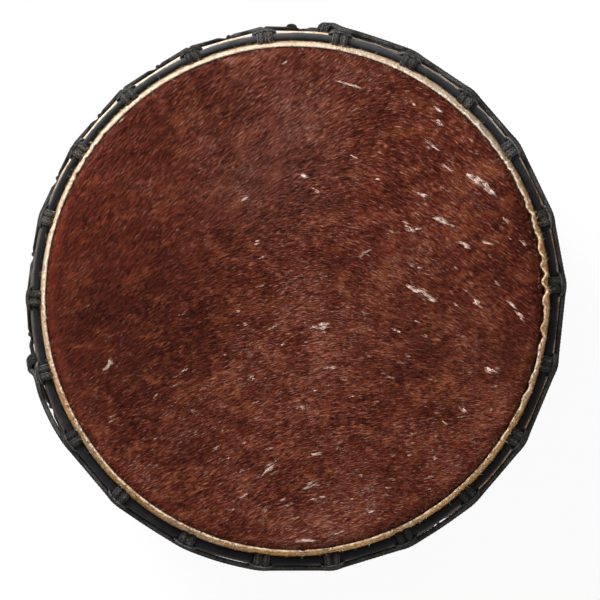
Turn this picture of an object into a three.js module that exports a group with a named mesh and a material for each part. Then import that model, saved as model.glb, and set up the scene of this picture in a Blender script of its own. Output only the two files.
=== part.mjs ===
// A dunun: a rope-tuned cylinder drum of West Africa, with a hair-on cowhide over each end of a carved
// wooden shell. Millimetres, +Z up along the drum's axis. It stands on its lower hide at z = 0.
//
// Each end has two steel rings. The hide folds up round the flesh ring, its cut edge standing against the
// shell. The crown ring, wound in black cloth, sits above the fold and is pulled towards the drum's middle
// by the cradle rope, which is hitched round it at every knot and hangs in a V between two knots. One
// tension rope laces the V's of one end to the V's of the other. What is left of it is wound round the drum.
import * as THREE from "three";

// The drum
const drumHeight = 660;
const shellRadius = 225.7;
const shellWall = 13;
const ovalShare = 0.0062;
const rimRound = 7;
const hideThickness = 2.5;
const trimDepth = 7;
const crownRingDepth = 20;
const loopDrop = 52;

// The rings: the flesh ring is a little wider than the crown ring
const rodRadius = 3;
const fleshRingSpread = 2;
const clothThickness = 0.6;
const clothSeam = 0.8;

// The cradle rope, squeezed flat where it goes round the crown ring, and the tension rope
const hitchFlat = 3.2;
const hitchBroad = 6.4;
const legFlat = 3.2;
const legBroad = 4.2;
const tensionRopeRadius = 2.4;
const freeEnd = 16;
const tieTurns = 2;
const tiePlaceShare = 0.45;

// Clearances: between pieces that touch, between a rope and what it passes, and between a tie's turns
const fitGap = 0.3;
const ropeGap = 0.5;
const turnGap = 0.8;

// How the knots lie: the first one seen from above, and how far each drifts, in shares of their spacing
const firstKnotDegrees = 98.1;
const knotDriftShares = [
  -0.1, -0.12, -0.1, -0.02, 0.1, 0.08, 0.18, 0.12, 0.06, 0.06, 0.04, 0.02, 0.07, 0.03, -0.04, -0.03, 0.01,
  0.01, -0.09, -0.09, -0.07, -0.09,
];
const knotCount = knotDriftShares.length;
const lastTieLoop = 16;

// How finely a rope's gap to itself is measured: the grain along it, the points along each side of its
// section, and how far along the rope its neighbourhood reaches
const gapGrain = 2;
const gapShares = [0, 0.25, 0.5, 0.75];
const neighbourRun = 11;

// How finely the round things are cut: a ring's facets, the sides of what is bent round a rod, and of ropes
const ringSegments = 36;
const rodSides = 6;
const cradleSides = 4;
const tensionSides = 5;
const flatShare = Math.cos(Math.PI / rodSides);
const cornerShare = (sides) => 1 / Math.cos(Math.PI / sides);

// Radial stack, from the shell outwards. What goes round a rod has its corners at these sizes.
const collarInner = shellRadius + fitGap;
const collarOuter = collarInner + hideThickness;
const edgeInner = collarOuter + fitGap;
const edgeOuter = edgeInner + hideThickness;
const clothInner = rodRadius + fitGap / flatShare;
const clothOuter = clothInner + clothThickness / flatShare;
const turnSize = clothOuter + (ropeGap + hitchFlat / 2) / flatShare;
const crownRingRadius = edgeOuter + ropeGap + hitchFlat / 2 + turnSize * flatShare;
const fleshRingRadius = crownRingRadius + fleshRingSpread;
const foldInner = rodRadius + fitGap / flatShare;
const foldOuter = foldInner + hideThickness / flatShare;
const legRadius = fleshRingRadius + foldOuter * flatShare + ropeGap + legFlat / 2;
const tensionReach = tensionRopeRadius * cornerShare(tensionSides);
const tieLead = 2 * tensionReach + turnGap;
const tailOff = legRadius + legFlat / 2 + ropeGap + tensionReach;

// Stack along the axis, down from the playing surface
const crownZ = -crownRingDepth;
const fleshZ = crownZ - turnSize - hitchFlat / 2 - ropeGap - foldOuter;
const hookZ = crownZ - loopDrop;
const legTopZ = fleshZ + foldOuter / 2;
const legLowZ = fleshZ - foldOuter / 2;
const tailZ = fleshZ - tensionRopeRadius;

// Places round the drum, in radians, clockwise as seen from above. A hook is the bottom of a V.
const pitch = (2 * Math.PI) / knotCount;
const hooksOf = (knots) =>
  knots.map((angle, i) => (angle + (i + 1 < knotCount ? knots[i + 1] : knots[0] - 2 * Math.PI)) / 2);
const topKnots = knotDriftShares.map(
  (drift, i) => THREE.MathUtils.degToRad(firstKnotDegrees) - pitch * (i - drift),
);
const topHooks = hooksOf(topKnots);
const bottomKnots = topHooks;
const bottomHooks = hooksOf(bottomKnots);
const hookRadius = legRadius * Math.cos(pitch / 2);
const tailStep = pitch / 2;
const tailRadius = tailOff / Math.cos(tailStep / 2);

// Half the width of a hitch at the leg, and how far the rope's turns lie to each side of its middle
const hitchApart = (hitchBroad + ropeGap) / 2;
const legApart = 2 * hitchApart;
const linkSize = (Math.hypot(legFlat, legBroad) / 2 + ropeGap + tensionReach) / flatShare;

const outward = (angle) => new THREE.Vector3(Math.cos(angle), Math.sin(angle), 0);
const up = new THREE.Vector3(0, 0, 1);
const around = (angle, radius, z) => outward(angle).multiplyScalar(radius).addScaledVector(up, z);
const mix = (a, b, share) => a + (b - a) * share;

// How near a ring's facet comes to the axis at an angle, as a share of its corners' radius.
function facetShare(angle) {
  const step = (2 * Math.PI) / ringSegments;
  const past = (((angle + Math.PI / 2) % step) + step) % step;
  return Math.cos(step / 2) / Math.cos(past - step / 2);
}

const finish = (color, roughness, metalness = 0) =>
  new THREE.MeshStandardMaterial({ color, roughness, metalness });
const wood = finish(0x6b3f22, 0.55);
const hide = finish(0x6a2e1d, 0.8);
const steel = finish(0x6e6a66, 0.45, 1);
const cloth = finish(0x1b1c20, 0.85);
const rope = finish(0x242222, 0.75);

function node(name, geometry, material) {
  const mesh = new THREE.Mesh(geometry, material);
  mesh.name = name;
  return mesh;
}

// Turns an outline of [radius, z] points, given counter-clockwise, round the drum's axis.
function turned(outline) {
  const points = outline.map(([radius, z]) => new THREE.Vector2(radius, z));
  if (outline[0][0] > 0) points.push(points[0].clone());
  return new THREE.LatheGeometry(points, ringSegments).rotateX(Math.PI / 2);
}

// Points of an arc about a centre in an outline's plane, from one angle to another in degrees.
function arc([radius, z], size, from, to, steps) {
  return Array.from({ length: steps + 1 }, (_, i) => {
    const a = THREE.MathUtils.degToRad(mix(from, to, i / steps));
    return [radius + size * Math.cos(a), z + size * Math.sin(a)];
  });
}

// The corners of a rope's section at each station. A station has its place p, the direction n across its
// thin side, and its half sizes: thin along n, and broad across it. Without n, the last section's direction
// is carried on, so that a round rope doesn't twist.
function sections(stations, sides, closed) {
  const count = stations.length;
  let carried = up;
  return stations.map((station, i) => {
    const before = stations[closed ? (i + count - 1) % count : Math.max(i - 1, 0)].p;
    const after = stations[closed ? (i + 1) % count : Math.min(i + 1, count - 1)].p;
    const along = after.clone().sub(before).normalize();
    const across = new THREE.Vector3().crossVectors(along, station.n ?? carried).normalize();
    const out = new THREE.Vector3().crossVectors(across, along);
    carried = out;
    return Array.from({ length: sides }, (_, j) => {
      const a = (2 * Math.PI * (j + 1 / 2)) / sides - Math.PI / 2;
      return station.p
        .clone()
        .addScaledVector(across, station.broad * cornerShare(sides) * Math.cos(a))
        .addScaledVector(out, station.thin * cornerShare(sides) * Math.sin(a));
    });
  });
}

// A rope swept through its stations, closed on itself or with flat ends.
function swept(stations, sides, closed = false) {
  const skin = sections(stations, sides, closed);
  const index = [];
  const corner = (i, j) => (i % skin.length) * sides + (j % sides);
  for (let i = 0; i < skin.length - (closed ? 0 : 1); i++) {
    for (let j = 0; j < sides; j++) {
      index.push(corner(i, j), corner(i + 1, j + 1), corner(i, j + 1));
      index.push(corner(i, j), corner(i + 1, j), corner(i + 1, j + 1));
    }
  }
  for (let j = 1; !closed && j + 1 < sides; j++) {
    const last = skin.length - 1;
    index.push(corner(0, 0), corner(0, j), corner(0, j + 1));
    index.push(corner(last, 0), corner(last, j + 1), corner(last, j));
  }
  const geometry = new THREE.BufferGeometry().setFromPoints(skin.flat());
  geometry.setIndex(index);
  return geometry;
}

// Points on a rope's skin, in one ring every few millimetres, each with how far along the rope it is.
function skinRings(stations, sides, closed) {
  const skin = sections(stations, sides, closed);
  const rings = [];
  let run = 0;
  for (let i = 0; i < skin.length - (closed ? 0 : 1); i++) {
    const next = (i + 1) % skin.length;
    const span = stations[i].p.distanceTo(stations[next].p);
    const steps = Math.ceil(span / gapGrain);
    for (let k = 0; k < steps; k++) {
      const corners = skin[i].map((corner, j) => corner.clone().lerp(skin[next][j], k / steps));
      const points = corners.flatMap((corner, j) =>
        gapShares.map((share) => corner.clone().lerp(corners[(j + 1) % sides], share)),
      );
      const p = stations[i].p.clone().lerp(stations[next].p, k / steps);
      rings.push({ p, points, run: run + (span * k) / steps });
    }
    run += span;
  }
  return { rings, length: run };
}

// Measures on points the least gap between stretches of a rope that aren't neighbours along it.
function leastGap(stations, sides, closed = false) {
  const { rings, length } = skinRings(stations, sides, closed);
  let least = neighbourRun;
  for (let i = 0; i < rings.length; i++) {
    for (let k = i + 1; k < rings.length; k++) {
      const run = rings[k].run - rings[i].run;
      const apart = closed ? Math.min(run, length - run) : run;
      if (apart < neighbourRun || rings[i].p.distanceTo(rings[k].p) > neighbourRun) continue;
      for (const p of rings[i].points) {
        for (const q of rings[k].points) least = Math.min(least, p.distanceTo(q));
      }
    }
  }
  return least;
}

// The shell: one carved cylinder, its bearing edges rounded outside and eased inside.
function shellGeometry() {
  const foot = hideThickness + fitGap;
  const head = drumHeight - foot;
  const bore = shellRadius - shellWall;
  const ease = shellWall - rimRound;
  const steps = 2;
  return turned([
    [bore, foot + ease],
    [bore + ease, foot],
    ...arc([shellRadius - rimRound, foot + rimRound], rimRound, -90, 0, steps).slice(1),
    ...arc([shellRadius - rimRound, head - rimRound], rimRound, 0, 90, steps),
    [bore, head - ease],
  ]);
}

// One hide: the playing surface, the collar down the shell, the fold round the flesh ring, and the cut
// edge that stands up between the collar and the crown ring.
function hideGeometry() {
  const innerRound = rimRound + fitGap;
  const outerRound = innerRound + hideThickness;
  const rim = [collarOuter - outerRound, -outerRound];
  const rod = [fleshRingRadius, fleshZ];
  const bend = hideThickness;
  const rimSteps = 2;
  const foldSteps = 3;
  return turned([
    [0, -hideThickness],
    ...arc(rim, innerRound, 90, 0, rimSteps),
    [collarInner, fleshZ - foldOuter + bend],
    [collarInner + bend, fleshZ - foldOuter],
    ...arc(rod, foldOuter, -90, 90, foldSteps),
    [edgeOuter + bend, fleshZ + foldOuter],
    [edgeOuter, fleshZ + foldOuter + bend],
    [edgeOuter, -trimDepth],
    [edgeInner, -trimDepth],
    [edgeInner, fleshZ + foldOuter],
    [edgeInner + bend, fleshZ + foldInner],
    ...arc(rod, foldInner, 90, -90, foldSteps),
    [collarOuter + bend, fleshZ - foldInner],
    [collarOuter, fleshZ - foldInner + bend],
    ...arc(rim, outerRound, 0, 90, rimSteps),
    [0, 0],
  ]);
}

// A steel hoop of round rod.
function hoopGeometry(radius, z) {
  return turned(arc([radius, z], rodRadius, -90, 270, rodSides).slice(0, rodSides));
}

// The cloth wound round the crown ring, open along a seam underneath.
function clothGeometry() {
  const centre = [crownRingRadius, crownZ];
  const seamHalf = THREE.MathUtils.radToDeg(clothSeam / 2 / clothOuter);
  const from = seamHalf - 90;
  const to = 270 - seamHalf;
  const outside = arc(centre, clothOuter, from, to, rodSides);
  const inside = arc(centre, clothInner, to, from, rodSides);
  return turned([...outside, ...inside]);
}

// A station of the rope round the crown ring, at an angle in degrees round the ring's section. It lies so
// far to the side of the knot, and rises so far above the turns that touch the cloth.
function turnStation(knot, aside, degrees, rise, broad) {
  const a = THREE.MathUtils.degToRad(degrees);
  const angle = knot + aside / crownRingRadius;
  const n = outward(angle).multiplyScalar(Math.cos(a)).addScaledVector(up, Math.sin(a));
  const p = around(angle, crownRingRadius * facetShare(angle), crownZ).addScaledVector(n, turnSize + rise);
  return { p, n, thin: hitchFlat / 2, broad: broad / 2 };
}

// A station of a V's leg, flat to the drum.
function ropeStation(angle, radius, z) {
  return { p: around(angle, radius, z), n: outward(angle), thin: legFlat / 2, broad: legBroad / 2 };
}

// Half of the cow hitch at a knot, from a V's leg, under the arch, once round the ring and out to the arch.
// side is -1 for the half met first going clockwise, and 1 for the other.
function halfHitch(knot, side) {
  const legShares = [1.45, 1];
  const leg = legShares.map((share, i) => {
    const angle = knot - (side * share * legApart) / legRadius;
    return ropeStation(angle, legRadius, i ? legTopZ : legLowZ);
  });
  // Each turn's place: how far aside, the angle round the ring, the rise and the width
  const rise = hitchFlat + ropeGap;
  const turnShares = [
    [0.8, -30, 0, 0.66],
    [0.9, 30, 0, 0.86],
    [1, 90, 0, 1],
    [1.05, 150, 0, 0.96],
    [1.25, 210, 0, 0.86],
    [1.6, 270, 0, 0.76],
    [3, -42, 0.6, 0.56],
    [1.35, 10, 1.08, 0.6],
  ];
  const turns = turnShares.map(([aside, degrees, lift, broad]) =>
    turnStation(knot, -side * aside * hitchApart, degrees, lift * rise, broad * hitchBroad),
  );
  return [...leg, ...turns];
}

// The bottom of a V, where the tension rope passes through it.
function loopBottom(hook) {
  const sides = [1, -1];
  return sides.map((side) => ropeStation(hook + (side * linkSize) / 2 / hookRadius, hookRadius, hookZ));
}

// The cradle rope of one end: a cow hitch at each knot and a V between each two, in one closed rope.
function cradleStations(knots) {
  const hooks = hooksOf(knots);
  return knots.flatMap((knot, i) => [
    ...halfHitch(knot, -1),
    ...halfHitch(knot, 1).reverse(),
    ...loopBottom(hooks[i]),
  ]);
}

// A station of the tension rope, which is round.
function roundStation(p) {
  return { p, thin: tensionRopeRadius, broad: tensionRopeRadius };
}

// A station of the tension rope at a place round the drum, so far outside the V's plane. facing is 1 at
// the top of the drum and -1 at the bottom, and z is measured towards the drum's middle from that end.
function lacingStation(angle, radius, z, facing) {
  return roundStation(around(angle, radius, facing > 0 ? drumHeight + z : -z));
}

// The tension rope's half turn through a V, from side to side: 1 starts outside, -1 starts on the shell's.
function linkStations(hook, facing, side) {
  const degrees = [90, 30, -30, -90];
  return degrees.map((turn) => {
    const a = THREE.MathUtils.degToRad(turn * side);
    return lacingStation(hook, hookRadius + linkSize * Math.sin(a), hookZ + linkSize * Math.cos(a), facing);
  });
}

// The lacing between its two ties: down from the first V, through every V of both ends in turn, and up
// again to where it started. It runs outside on its way down and on the shell's side on its way up.
function lacingStations() {
  return topHooks.flatMap((hook, i) => [
    ...(i ? linkStations(hook, 1, -1) : []),
    ...linkStations(bottomHooks[i], -1, 1),
  ]);
}

// One V's leg at the top end, as its two ends. side is 1 for the leg met first going clockwise.
function legEnds(i, side) {
  const knot = topKnots[(side > 0 ? i : i + 1) % knotCount];
  const lift = up.clone().multiplyScalar(drumHeight);
  return [halfHitch(knot, side)[0].p.add(lift), loopBottom(topHooks[i])[side > 0 ? 0 : 1].p.add(lift)];
}

// The tension rope tied round a V's leg: whole turns that start and end outside it, running clockwise.
// They go down the leg, or up it where climb is -1.
function tieStations(i, side, climb) {
  const [head, foot] = legEnds(i, side);
  const axis = foot.clone().sub(head).normalize();
  const centre = head.clone().lerp(foot, tiePlaceShare);
  const flat = new THREE.Vector3(centre.x, centre.y, 0).normalize();
  const clockwise = new THREE.Vector3().crossVectors(axis, flat).normalize();
  const outside = new THREE.Vector3().crossVectors(clockwise, axis);
  const steps = tieTurns * rodSides;
  return Array.from({ length: steps + 1 }, (_, k) => {
    const a = (2 * Math.PI * k) / rodSides;
    const along = climb * (k / steps - 1 / 2) * tieTurns * tieLead;
    const p = centre
      .clone()
      .addScaledVector(axis, along)
      .addScaledVector(outside, linkSize * Math.cos(a))
      .addScaledVector(clockwise, linkSize * Math.sin(a));
    return roundStation(p);
  });
}

// The free end past a tie, standing up a little. ahead is 1 after the tie and -1 before it.
function freeEndStation(tie, ahead) {
  const end = ahead > 0 ? tie[tie.length - 1] : tie[0];
  const angle = Math.atan2(end.p.y, end.p.x) - (ahead * freeEnd) / legRadius;
  const p = around(angle, Math.hypot(end.p.x, end.p.y), end.p.z + freeEnd / 2);
  return roundStation(p);
}

// The surplus: from its tie by the second knot, wound clockwise over the cradle rope to its last tie.
function tailStations(from, to) {
  const start = Math.atan2(from.p.y, from.p.x);
  const end = Math.atan2(to.p.y, to.p.x);
  const angles = [];
  for (let angle = start - tailStep; angle > end + tailStep / 2; angle -= tailStep) angles.push(angle);
  return angles.map((angle) => roundStation(around(angle, tailRadius, drumHeight + tailZ)));
}

// The whole tension rope, from its first tie to the end of its surplus.
function tensionStations() {
  const firstTie = tieStations(0, 1, 1);
  const surplusTie = tieStations(0, -1, -1);
  const lastTie = tieStations(lastTieLoop, 1, 1);
  const home = topHooks[0];
  return [
    freeEndStation(firstTie, -1),
    ...firstTie,
    ...lacingStations(),
    lacingStation(home, hookRadius - linkSize, hookZ, 1),
    lacingStation(home, hookRadius, hookZ + 2 * linkSize, 1),
    ...surplusTie,
    ...tailStations(surplusTie[surplusTie.length - 1], lastTie[0]),
    ...lastTie,
    freeEndStation(lastTie, 1),
  ];
}

const cradles = {
  top: cradleStations(topKnots),
  bottom: cradleStations(bottomKnots.map((angle) => -angle).reverse()),
};
const tension = tensionStations();
for (const [name, stations, sides, closed] of [
  ["top cradle rope", cradles.top, cradleSides, true],
  ["bottom cradle rope", cradles.bottom, cradleSides, true],
  ["tension rope", tension, tensionSides, false],
]) {
  console.log(`${name}: least gap to itself ${leastGap(stations, sides, closed).toFixed(2)} mm`);
}

// The shell is carved a little oval, and all that is drawn round it follows
const group = new THREE.Group();
group.scale.set(1 - ovalShare, 1 + ovalShare, 1);
group.add(node("shell", shellGeometry(), wood));
for (const [end, z, tilt] of [
  ["top", drumHeight, 0],
  ["bottom", 0, Math.PI],
]) {
  const head = new THREE.Group();
  head.position.z = z;
  head.rotation.x = tilt;
  head.add(
    node(`${end}_hide`, hideGeometry(), hide),
    node(`${end}_flesh_ring`, hoopGeometry(fleshRingRadius, fleshZ), steel),
    node(`${end}_crown_ring`, hoopGeometry(crownRingRadius, crownZ), steel),
    node(`${end}_ring_cloth`, clothGeometry(), cloth),
    node(`${end}_cradle_rope`, swept(cradles[end], cradleSides, true), rope),
  );
  group.add(head);
}

group.add(node("tension_rope", swept(tension, tensionSides), rope));

export default group;
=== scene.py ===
"""The looks of a dunun, a rope-tuned drum with hair-on cowhide heads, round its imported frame.

Metres, +Z up along the drum's axis. The top end is drawn with z from the playing surface, and the bottom
end is the same one turned over about X. Sizes repeat those of the part, and places round the drum are in
radians, unless a name or a comment says degrees.
"""

import math
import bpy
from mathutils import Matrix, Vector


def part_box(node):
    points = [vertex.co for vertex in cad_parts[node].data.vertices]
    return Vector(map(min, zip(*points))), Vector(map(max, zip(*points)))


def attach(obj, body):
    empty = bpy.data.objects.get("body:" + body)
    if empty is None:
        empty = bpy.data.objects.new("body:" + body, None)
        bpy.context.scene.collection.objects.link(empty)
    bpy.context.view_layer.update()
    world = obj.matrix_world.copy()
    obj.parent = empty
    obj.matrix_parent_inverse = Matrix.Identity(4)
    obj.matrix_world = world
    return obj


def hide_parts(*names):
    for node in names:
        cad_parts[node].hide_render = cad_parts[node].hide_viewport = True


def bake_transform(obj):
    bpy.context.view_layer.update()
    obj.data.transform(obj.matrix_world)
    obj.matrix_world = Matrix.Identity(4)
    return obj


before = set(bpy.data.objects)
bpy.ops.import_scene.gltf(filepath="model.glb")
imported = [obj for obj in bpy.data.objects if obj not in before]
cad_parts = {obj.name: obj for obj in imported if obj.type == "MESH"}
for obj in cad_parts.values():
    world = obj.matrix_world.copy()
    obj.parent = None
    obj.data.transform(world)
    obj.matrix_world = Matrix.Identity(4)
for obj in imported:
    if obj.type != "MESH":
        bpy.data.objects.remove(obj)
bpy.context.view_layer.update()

from types import SimpleNamespace

import bpy
import numpy as np

SEED = 7
random = np.random.default_rng(SEED)

# The drum, as the part has it
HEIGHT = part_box("top_hide")[1].z
MIDDLE = HEIGHT / 2
OVAL_SHARE = 0.0062
SHELL_RADIUS = 0.2257
SHELL_WALL = 0.013
RIM_ROUND = 0.007
HIDE_THICKNESS = 0.0025
FIT_GAP = 0.0003
CROWN_RING_RADIUS = 0.2388
CROWN_Z = -0.020
FLESH_RING_SPREAD = 0.0007
FLESH_Z = -0.0348
ROD_RADIUS = 0.003
ROD_STEPS = 300
LOOP_DROP = 0.052
HOOK_Z = CROWN_Z - LOOP_DROP
COLLAR_OUTER = SHELL_RADIUS + FIT_GAP + HIDE_THICKNESS
HEAD_ROUND = RIM_ROUND + FIT_GAP + HIDE_THICKNESS
HEAD_FLAT = COLLAR_OUTER - HEAD_ROUND

# How the knots lie, as the part has them, clockwise from above
FIRST_KNOT_DEGREES = 98.1
KNOT_DRIFT_SHARES = (
    -0.1, -0.12, -0.1, -0.02, 0.1, 0.08, 0.18, 0.12, 0.06, 0.06, 0.04, 0.02, 0.07, 0.03, -0.04, -0.03, 0.01,
    0.01, -0.09, -0.09, -0.07, -0.09,
)
KNOT_COUNT = len(KNOT_DRIFT_SHARES)
LAST_TIE_LOOP = 16
PITCH = 2 * math.pi / KNOT_COUNT

# The cloth on the crown ring, a strip wound in turns that lap: the step up at a lap, how much of a turn it
# takes, how much the turn thins again, and how far the cloth wanders, creases and swells
CLOTH_RADIUS = 0.0039
CLOTH_TURNS = 118
CLOTH_POINTS = (1500, 28)
LAP_STEP = 0.00042
LAP_SHARE = 0.16
THINNING_SHARE = 0.75
WANDER_SHARE = 0.14
CREASE = 0.00006
CLOTH_SWELL = 0.00012
CLOTH_ROUND = 0.0245
THREADS = 6400.0

# Half sizes of each rope's section, drawn tight, across its thin side and its broad side
HITCH_FLAT = 0.0014
HITCH_BROAD = 0.0036
HITCH_SWELL = 0.0007
ARCH_FLAT = 0.0020
ARCH_SINK = 0.0006
LEG_FLAT = 0.0021
LEG_BROAD = 0.0023
LACING_RADIUS = 0.0022
SURPLUS_RADIUS = 0.0027
FIRST_TIE_RADIUS = 0.0014

# A hitch: how tight it lies on the cloth, how far apart its turns lie, and where its legs leave the knot
TIGHT_SHARE = 0.9
APART_SHARE = 1.01
TURN_SIZE = CLOTH_RADIUS + HITCH_FLAT * TIGHT_SHARE
LEG_REACH = 0.0031
LEG_SHARES = ((0.82, FLESH_Z - LEG_REACH), (0.27, FLESH_Z + LEG_REACH))

# Its turns, then the arch over them: shares of a turn's breadth aside, degrees round the ring, and shares of
# the rope's breadth and of its swell or its rise
TURN_SHARES = (
    (0.66, -36, 0.66, 0.0), (0.84, 6, 0.80, 0.1), (0.95, 45, 0.96, 0.8), (1.02, 95, 1.0, 1.0),
    (1.06, 145, 0.96, 0.5), (1.16, 205, 0.82, 0.0), (1.50, 270, 0.70, 0.0),
)
ARCH_SHARES = ((2.50, -40, 0.60, 0.0), (2.42, -4, 0.62, 0.05), (2.00, 13, 0.64, 0.60), (0.95, 17, 0.68, 0.98))

# Where the ropes run, from the drum's axis and along it
LEG_RADIUS = 0.2452
CHORD_RADIUS = 0.2446
HOOK_RADIUS = 0.2430
LINK_RADIUS = 0.2415
LINK_SIZE = 0.0040
LINK_TWIST = math.radians(32)
SHOULDER = 0.0075
SHOULDER_RISE_SHARE = 0.72
SURPLUS_CORNER = 0.2495
SURPLUS_Z = CROWN_Z - 0.008
SURPLUS_SWAY = 0.0005
FREE_END = 0.007

# The ties, each at a share of the way down a V's leg
FIRST_TIE_SHARE = 0.88
FIRST_TIE_TURNS = 2
SURPLUS_TIE_SHARES = (0.32, 0.20)
SURPLUS_TIE_TURNS = 2.5
TIE_STEPS = 8

# How far out the legs and the surplus lie, more or less than their usual, at places in degrees round the drum
BOW_PLACES = (-180, -170, -135, -90, -45, 0, 45, 90, 120, 150)
LEG_BOWS = (-0.0004, 0.0026, -0.0006, -0.0006, -0.0003, 0.0003, 0.0006, 0.0019, 0.0015, 0.0001)
SURPLUS_BOWS = (-0.0010, -0.0010, -0.0012, -0.0012, -0.0006, 0.0005, -0.0004, -0.0002, 0.0, -0.0005)

# How far the surplus hangs slack between each two knots that it passes
SURPLUS_SLACKS = (
    0.0008, 0.0, 0.0, 0.0004, 0.0, 0.0, 0.0, 0.0003, 0.0015, 0.0, 0.0, 0.0025, 0.0012, 0.0, 0.0034, 0.0,
)
SLACK_SHARES = (0.25, 0.5, 0.75)

# Each rope as a mesh: points round it, the step along it, its braid's picks round and lead along, the
# braid's depth, and how far from the ends of a stretch over the longest it is held straight
CRADLE = SimpleNamespace(
    sides=16, grain=0.00082, picks=6, lead=0.0029, relief=0.00048, guide=0.008, longest=0.02, wear_and_light_share=0.75
)
LACING = SimpleNamespace(
    sides=10, grain=0.00122, picks=4, lead=0.0036, relief=0.0003, guide=0.012, longest=0.04, wear_and_light_share=0.35
)
SURPLUS = SimpleNamespace(
    sides=18, grain=0.0007, picks=6, lead=0.0036, relief=0.00042, guide=0.012, longest=0.03, wear_and_light_share=0.5
)

# Two distances from the drum's end along the collar, made into levels that nothing goes on to use
COLLAR_STRETCH = (0.012, 0.034)

# The head and its collar
CENTRE_HOLE = 0.0004
COLLAR_DROP = 0.003
HEAD_POINTS = 110
HEAD_STEPS = 420
HEAD_SWELL = 0.00012
HEAD_SWELL_DEPTH = 0.0024

# The fold of the hide round its flesh ring
FOLD_INNER = 0.0032
FOLD_OUTER = 0.0049
FOLD_SWELL = 0.0002
FOLD_FOOT = 0.0068
FOLD_STEPS = 1100

# The cut edge: how deep under the playing surface, how wide its face is, how far it rounds, how near the
# cloth it comes, the most it stands off the collar, and how much it rises and falls, frays and is notched
CUT_DEPTH = 0.0044
CUT_WIDTH = 0.0020
CUT_ROUND = 0.0003
WAIST_GAP = 0.0003
WAIST_SHARE = 0.30
MOST_LEAN = 0.0040
RAGGED = (0.00045, 0.0004)
RAGGED_LIMITS = (-0.0016, 0.0012)
FRAYED = 0.00028
NOTCHED = 0.00035

# Where it stands off the collar in scallops, where it stands off a little, and where it gapes in notches:
# the middle, the reach and the notches' places in degrees, and the sizes
SCALLOPS = SimpleNamespace(middle=5.0, reach=38.0, size=0.0018, waves=(0.0015, 0.0003))
LOW_LEAN = SimpleNamespace(middle=-75.0, reach=60.0, size=0.0006)
UNEVEN_LEAN = 0.00018
NOTCH_PLACES = (139.5, 143.0, 146.5, 150.5, 30.0, -88.0)
NOTCH_SIZE = 0.0016
NOTCH_WIDTH = 0.0065

# The adze's facets on the shell: waves round it from fewest to most, rows along it, and their depths, then
# how many sets of each there are, and how far one set's rows are from the next one's
FACETS = ((16, 30, 2.5, 0.00035), (44, 80, 7.0, 0.0002))
FACET_SETS = 6
FACET_ROWS = 3
FACET_SHIFT = 1.7
MOST_FACET = 0.0009
SHELL_POINTS = (400, 90)

# The crown ring isn't quite true: how far it bows out, in waves of so many to a turn, and where, in degrees
RING_BOWS = ((1, 0.0011, -42.0), (2, 0.0006, 42.0), (3, 0.00035, 3.0))

# Where the hair of the head lies which way: a centre, how far it reaches, and the hair's angle in degrees
HAIR_ZONES = (
    ((-0.17, 0.06), 0.19, 48.0), ((-0.02, 0.17), 0.16, 40.0), ((-0.04, -0.01), 0.17, 12.0),
    ((0.13, 0.05), 0.19, -34.0), ((0.09, -0.13), 0.17, 8.0), ((-0.09, -0.15), 0.18, 26.0),
)

# Where the coat is darker or brighter: a centre, how far it reaches, and by how much
TONE_PATCHES = (
    ((-0.215, 0.035), 0.14, -0.15), ((0.215, 0.03), 0.12, -0.13), ((-0.105, 0.0), 0.11, -0.13),
    ((0.10, 0.0), 0.08, -0.015), ((0.0, 0.20), 0.12, 0.055), ((-0.01, 0.13), 0.08, -0.035),
    ((-0.13, -0.13), 0.10, -0.03), ((0.0, 0.0), 0.09, 0.055), ((0.0, -0.19), 0.12, 0.06),
    ((0.145, 0.13), 0.08, 0.03),
)

# Where the coat is redder and where greyer, a centre and a reach, and two radii over which painted shade
# darkens the rim
RED_PATCH = ((-0.22, 0.06), 0.21)
GREY_PATCH = ((-0.015, 0.12), 0.10)
RIM_SHADE_RADII = (0.2165, 0.2265)

# Where the rawhide is amber, and where painted shade darkens the low part of the fold: a direction from the
# axis and how far that way it comes in, how far that wanders, and the levels from the drum's middle between
# which it ends
AMBER_SIDE = (-0.35, 1.0, 0.0)
AMBER_SPAN = (0.11, -0.05)
FOLD_SHADE_SIDE = (-0.64, -0.77, 0.0)
FOLD_SHADE_SPAN = (0.04, 0.10)
FOLD_SHADE_WANDER = 0.04
FOLD_SHADE_LEVELS = (MIDDLE - 0.022, MIDDLE - 0.026)

# Painted light on the cloth, where its gloss changes, painted light on the ropes' wear, and the levels of
# their hitches
CLOTH_LIGHT_PATCH = ((-0.14, 0.24), 0.46)
CLOTH_LIGHT_RADII = (0.2365, 0.2425)
GLOSS_SPAN = (-0.20, 0.10)
ROPE_LIGHT_SPAN = (-0.22, 0.05)
HITCH_LEVELS = (MIDDLE + CROWN_Z - 0.010, MIDDLE + CROWN_Z - 0.004)

# How deep each material's bumps are, in the order of its own list
COAT_BUMPS = (0.0011, 0.0005)
RAWHIDE_BUMPS = (0.0008, 0.0006)
CLOTH_BUMPS = (0.00012, 0.0005)
ROPE_BUMPS = (0.0005, 0.00010, 0.00015)
WOOD_BUMPS = (0.0005, 0.0004)
STEEL_BUMPS = (0.00008,)

# A strand: how far along it bends, how high its tip stays, how far that sways, and how thin its root is
KNEE_SHARE = 0.45
TIP_SHARE = 0.8
SWAY_SHARE = 0.10
ROOT_SHARE = 0.75

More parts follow.
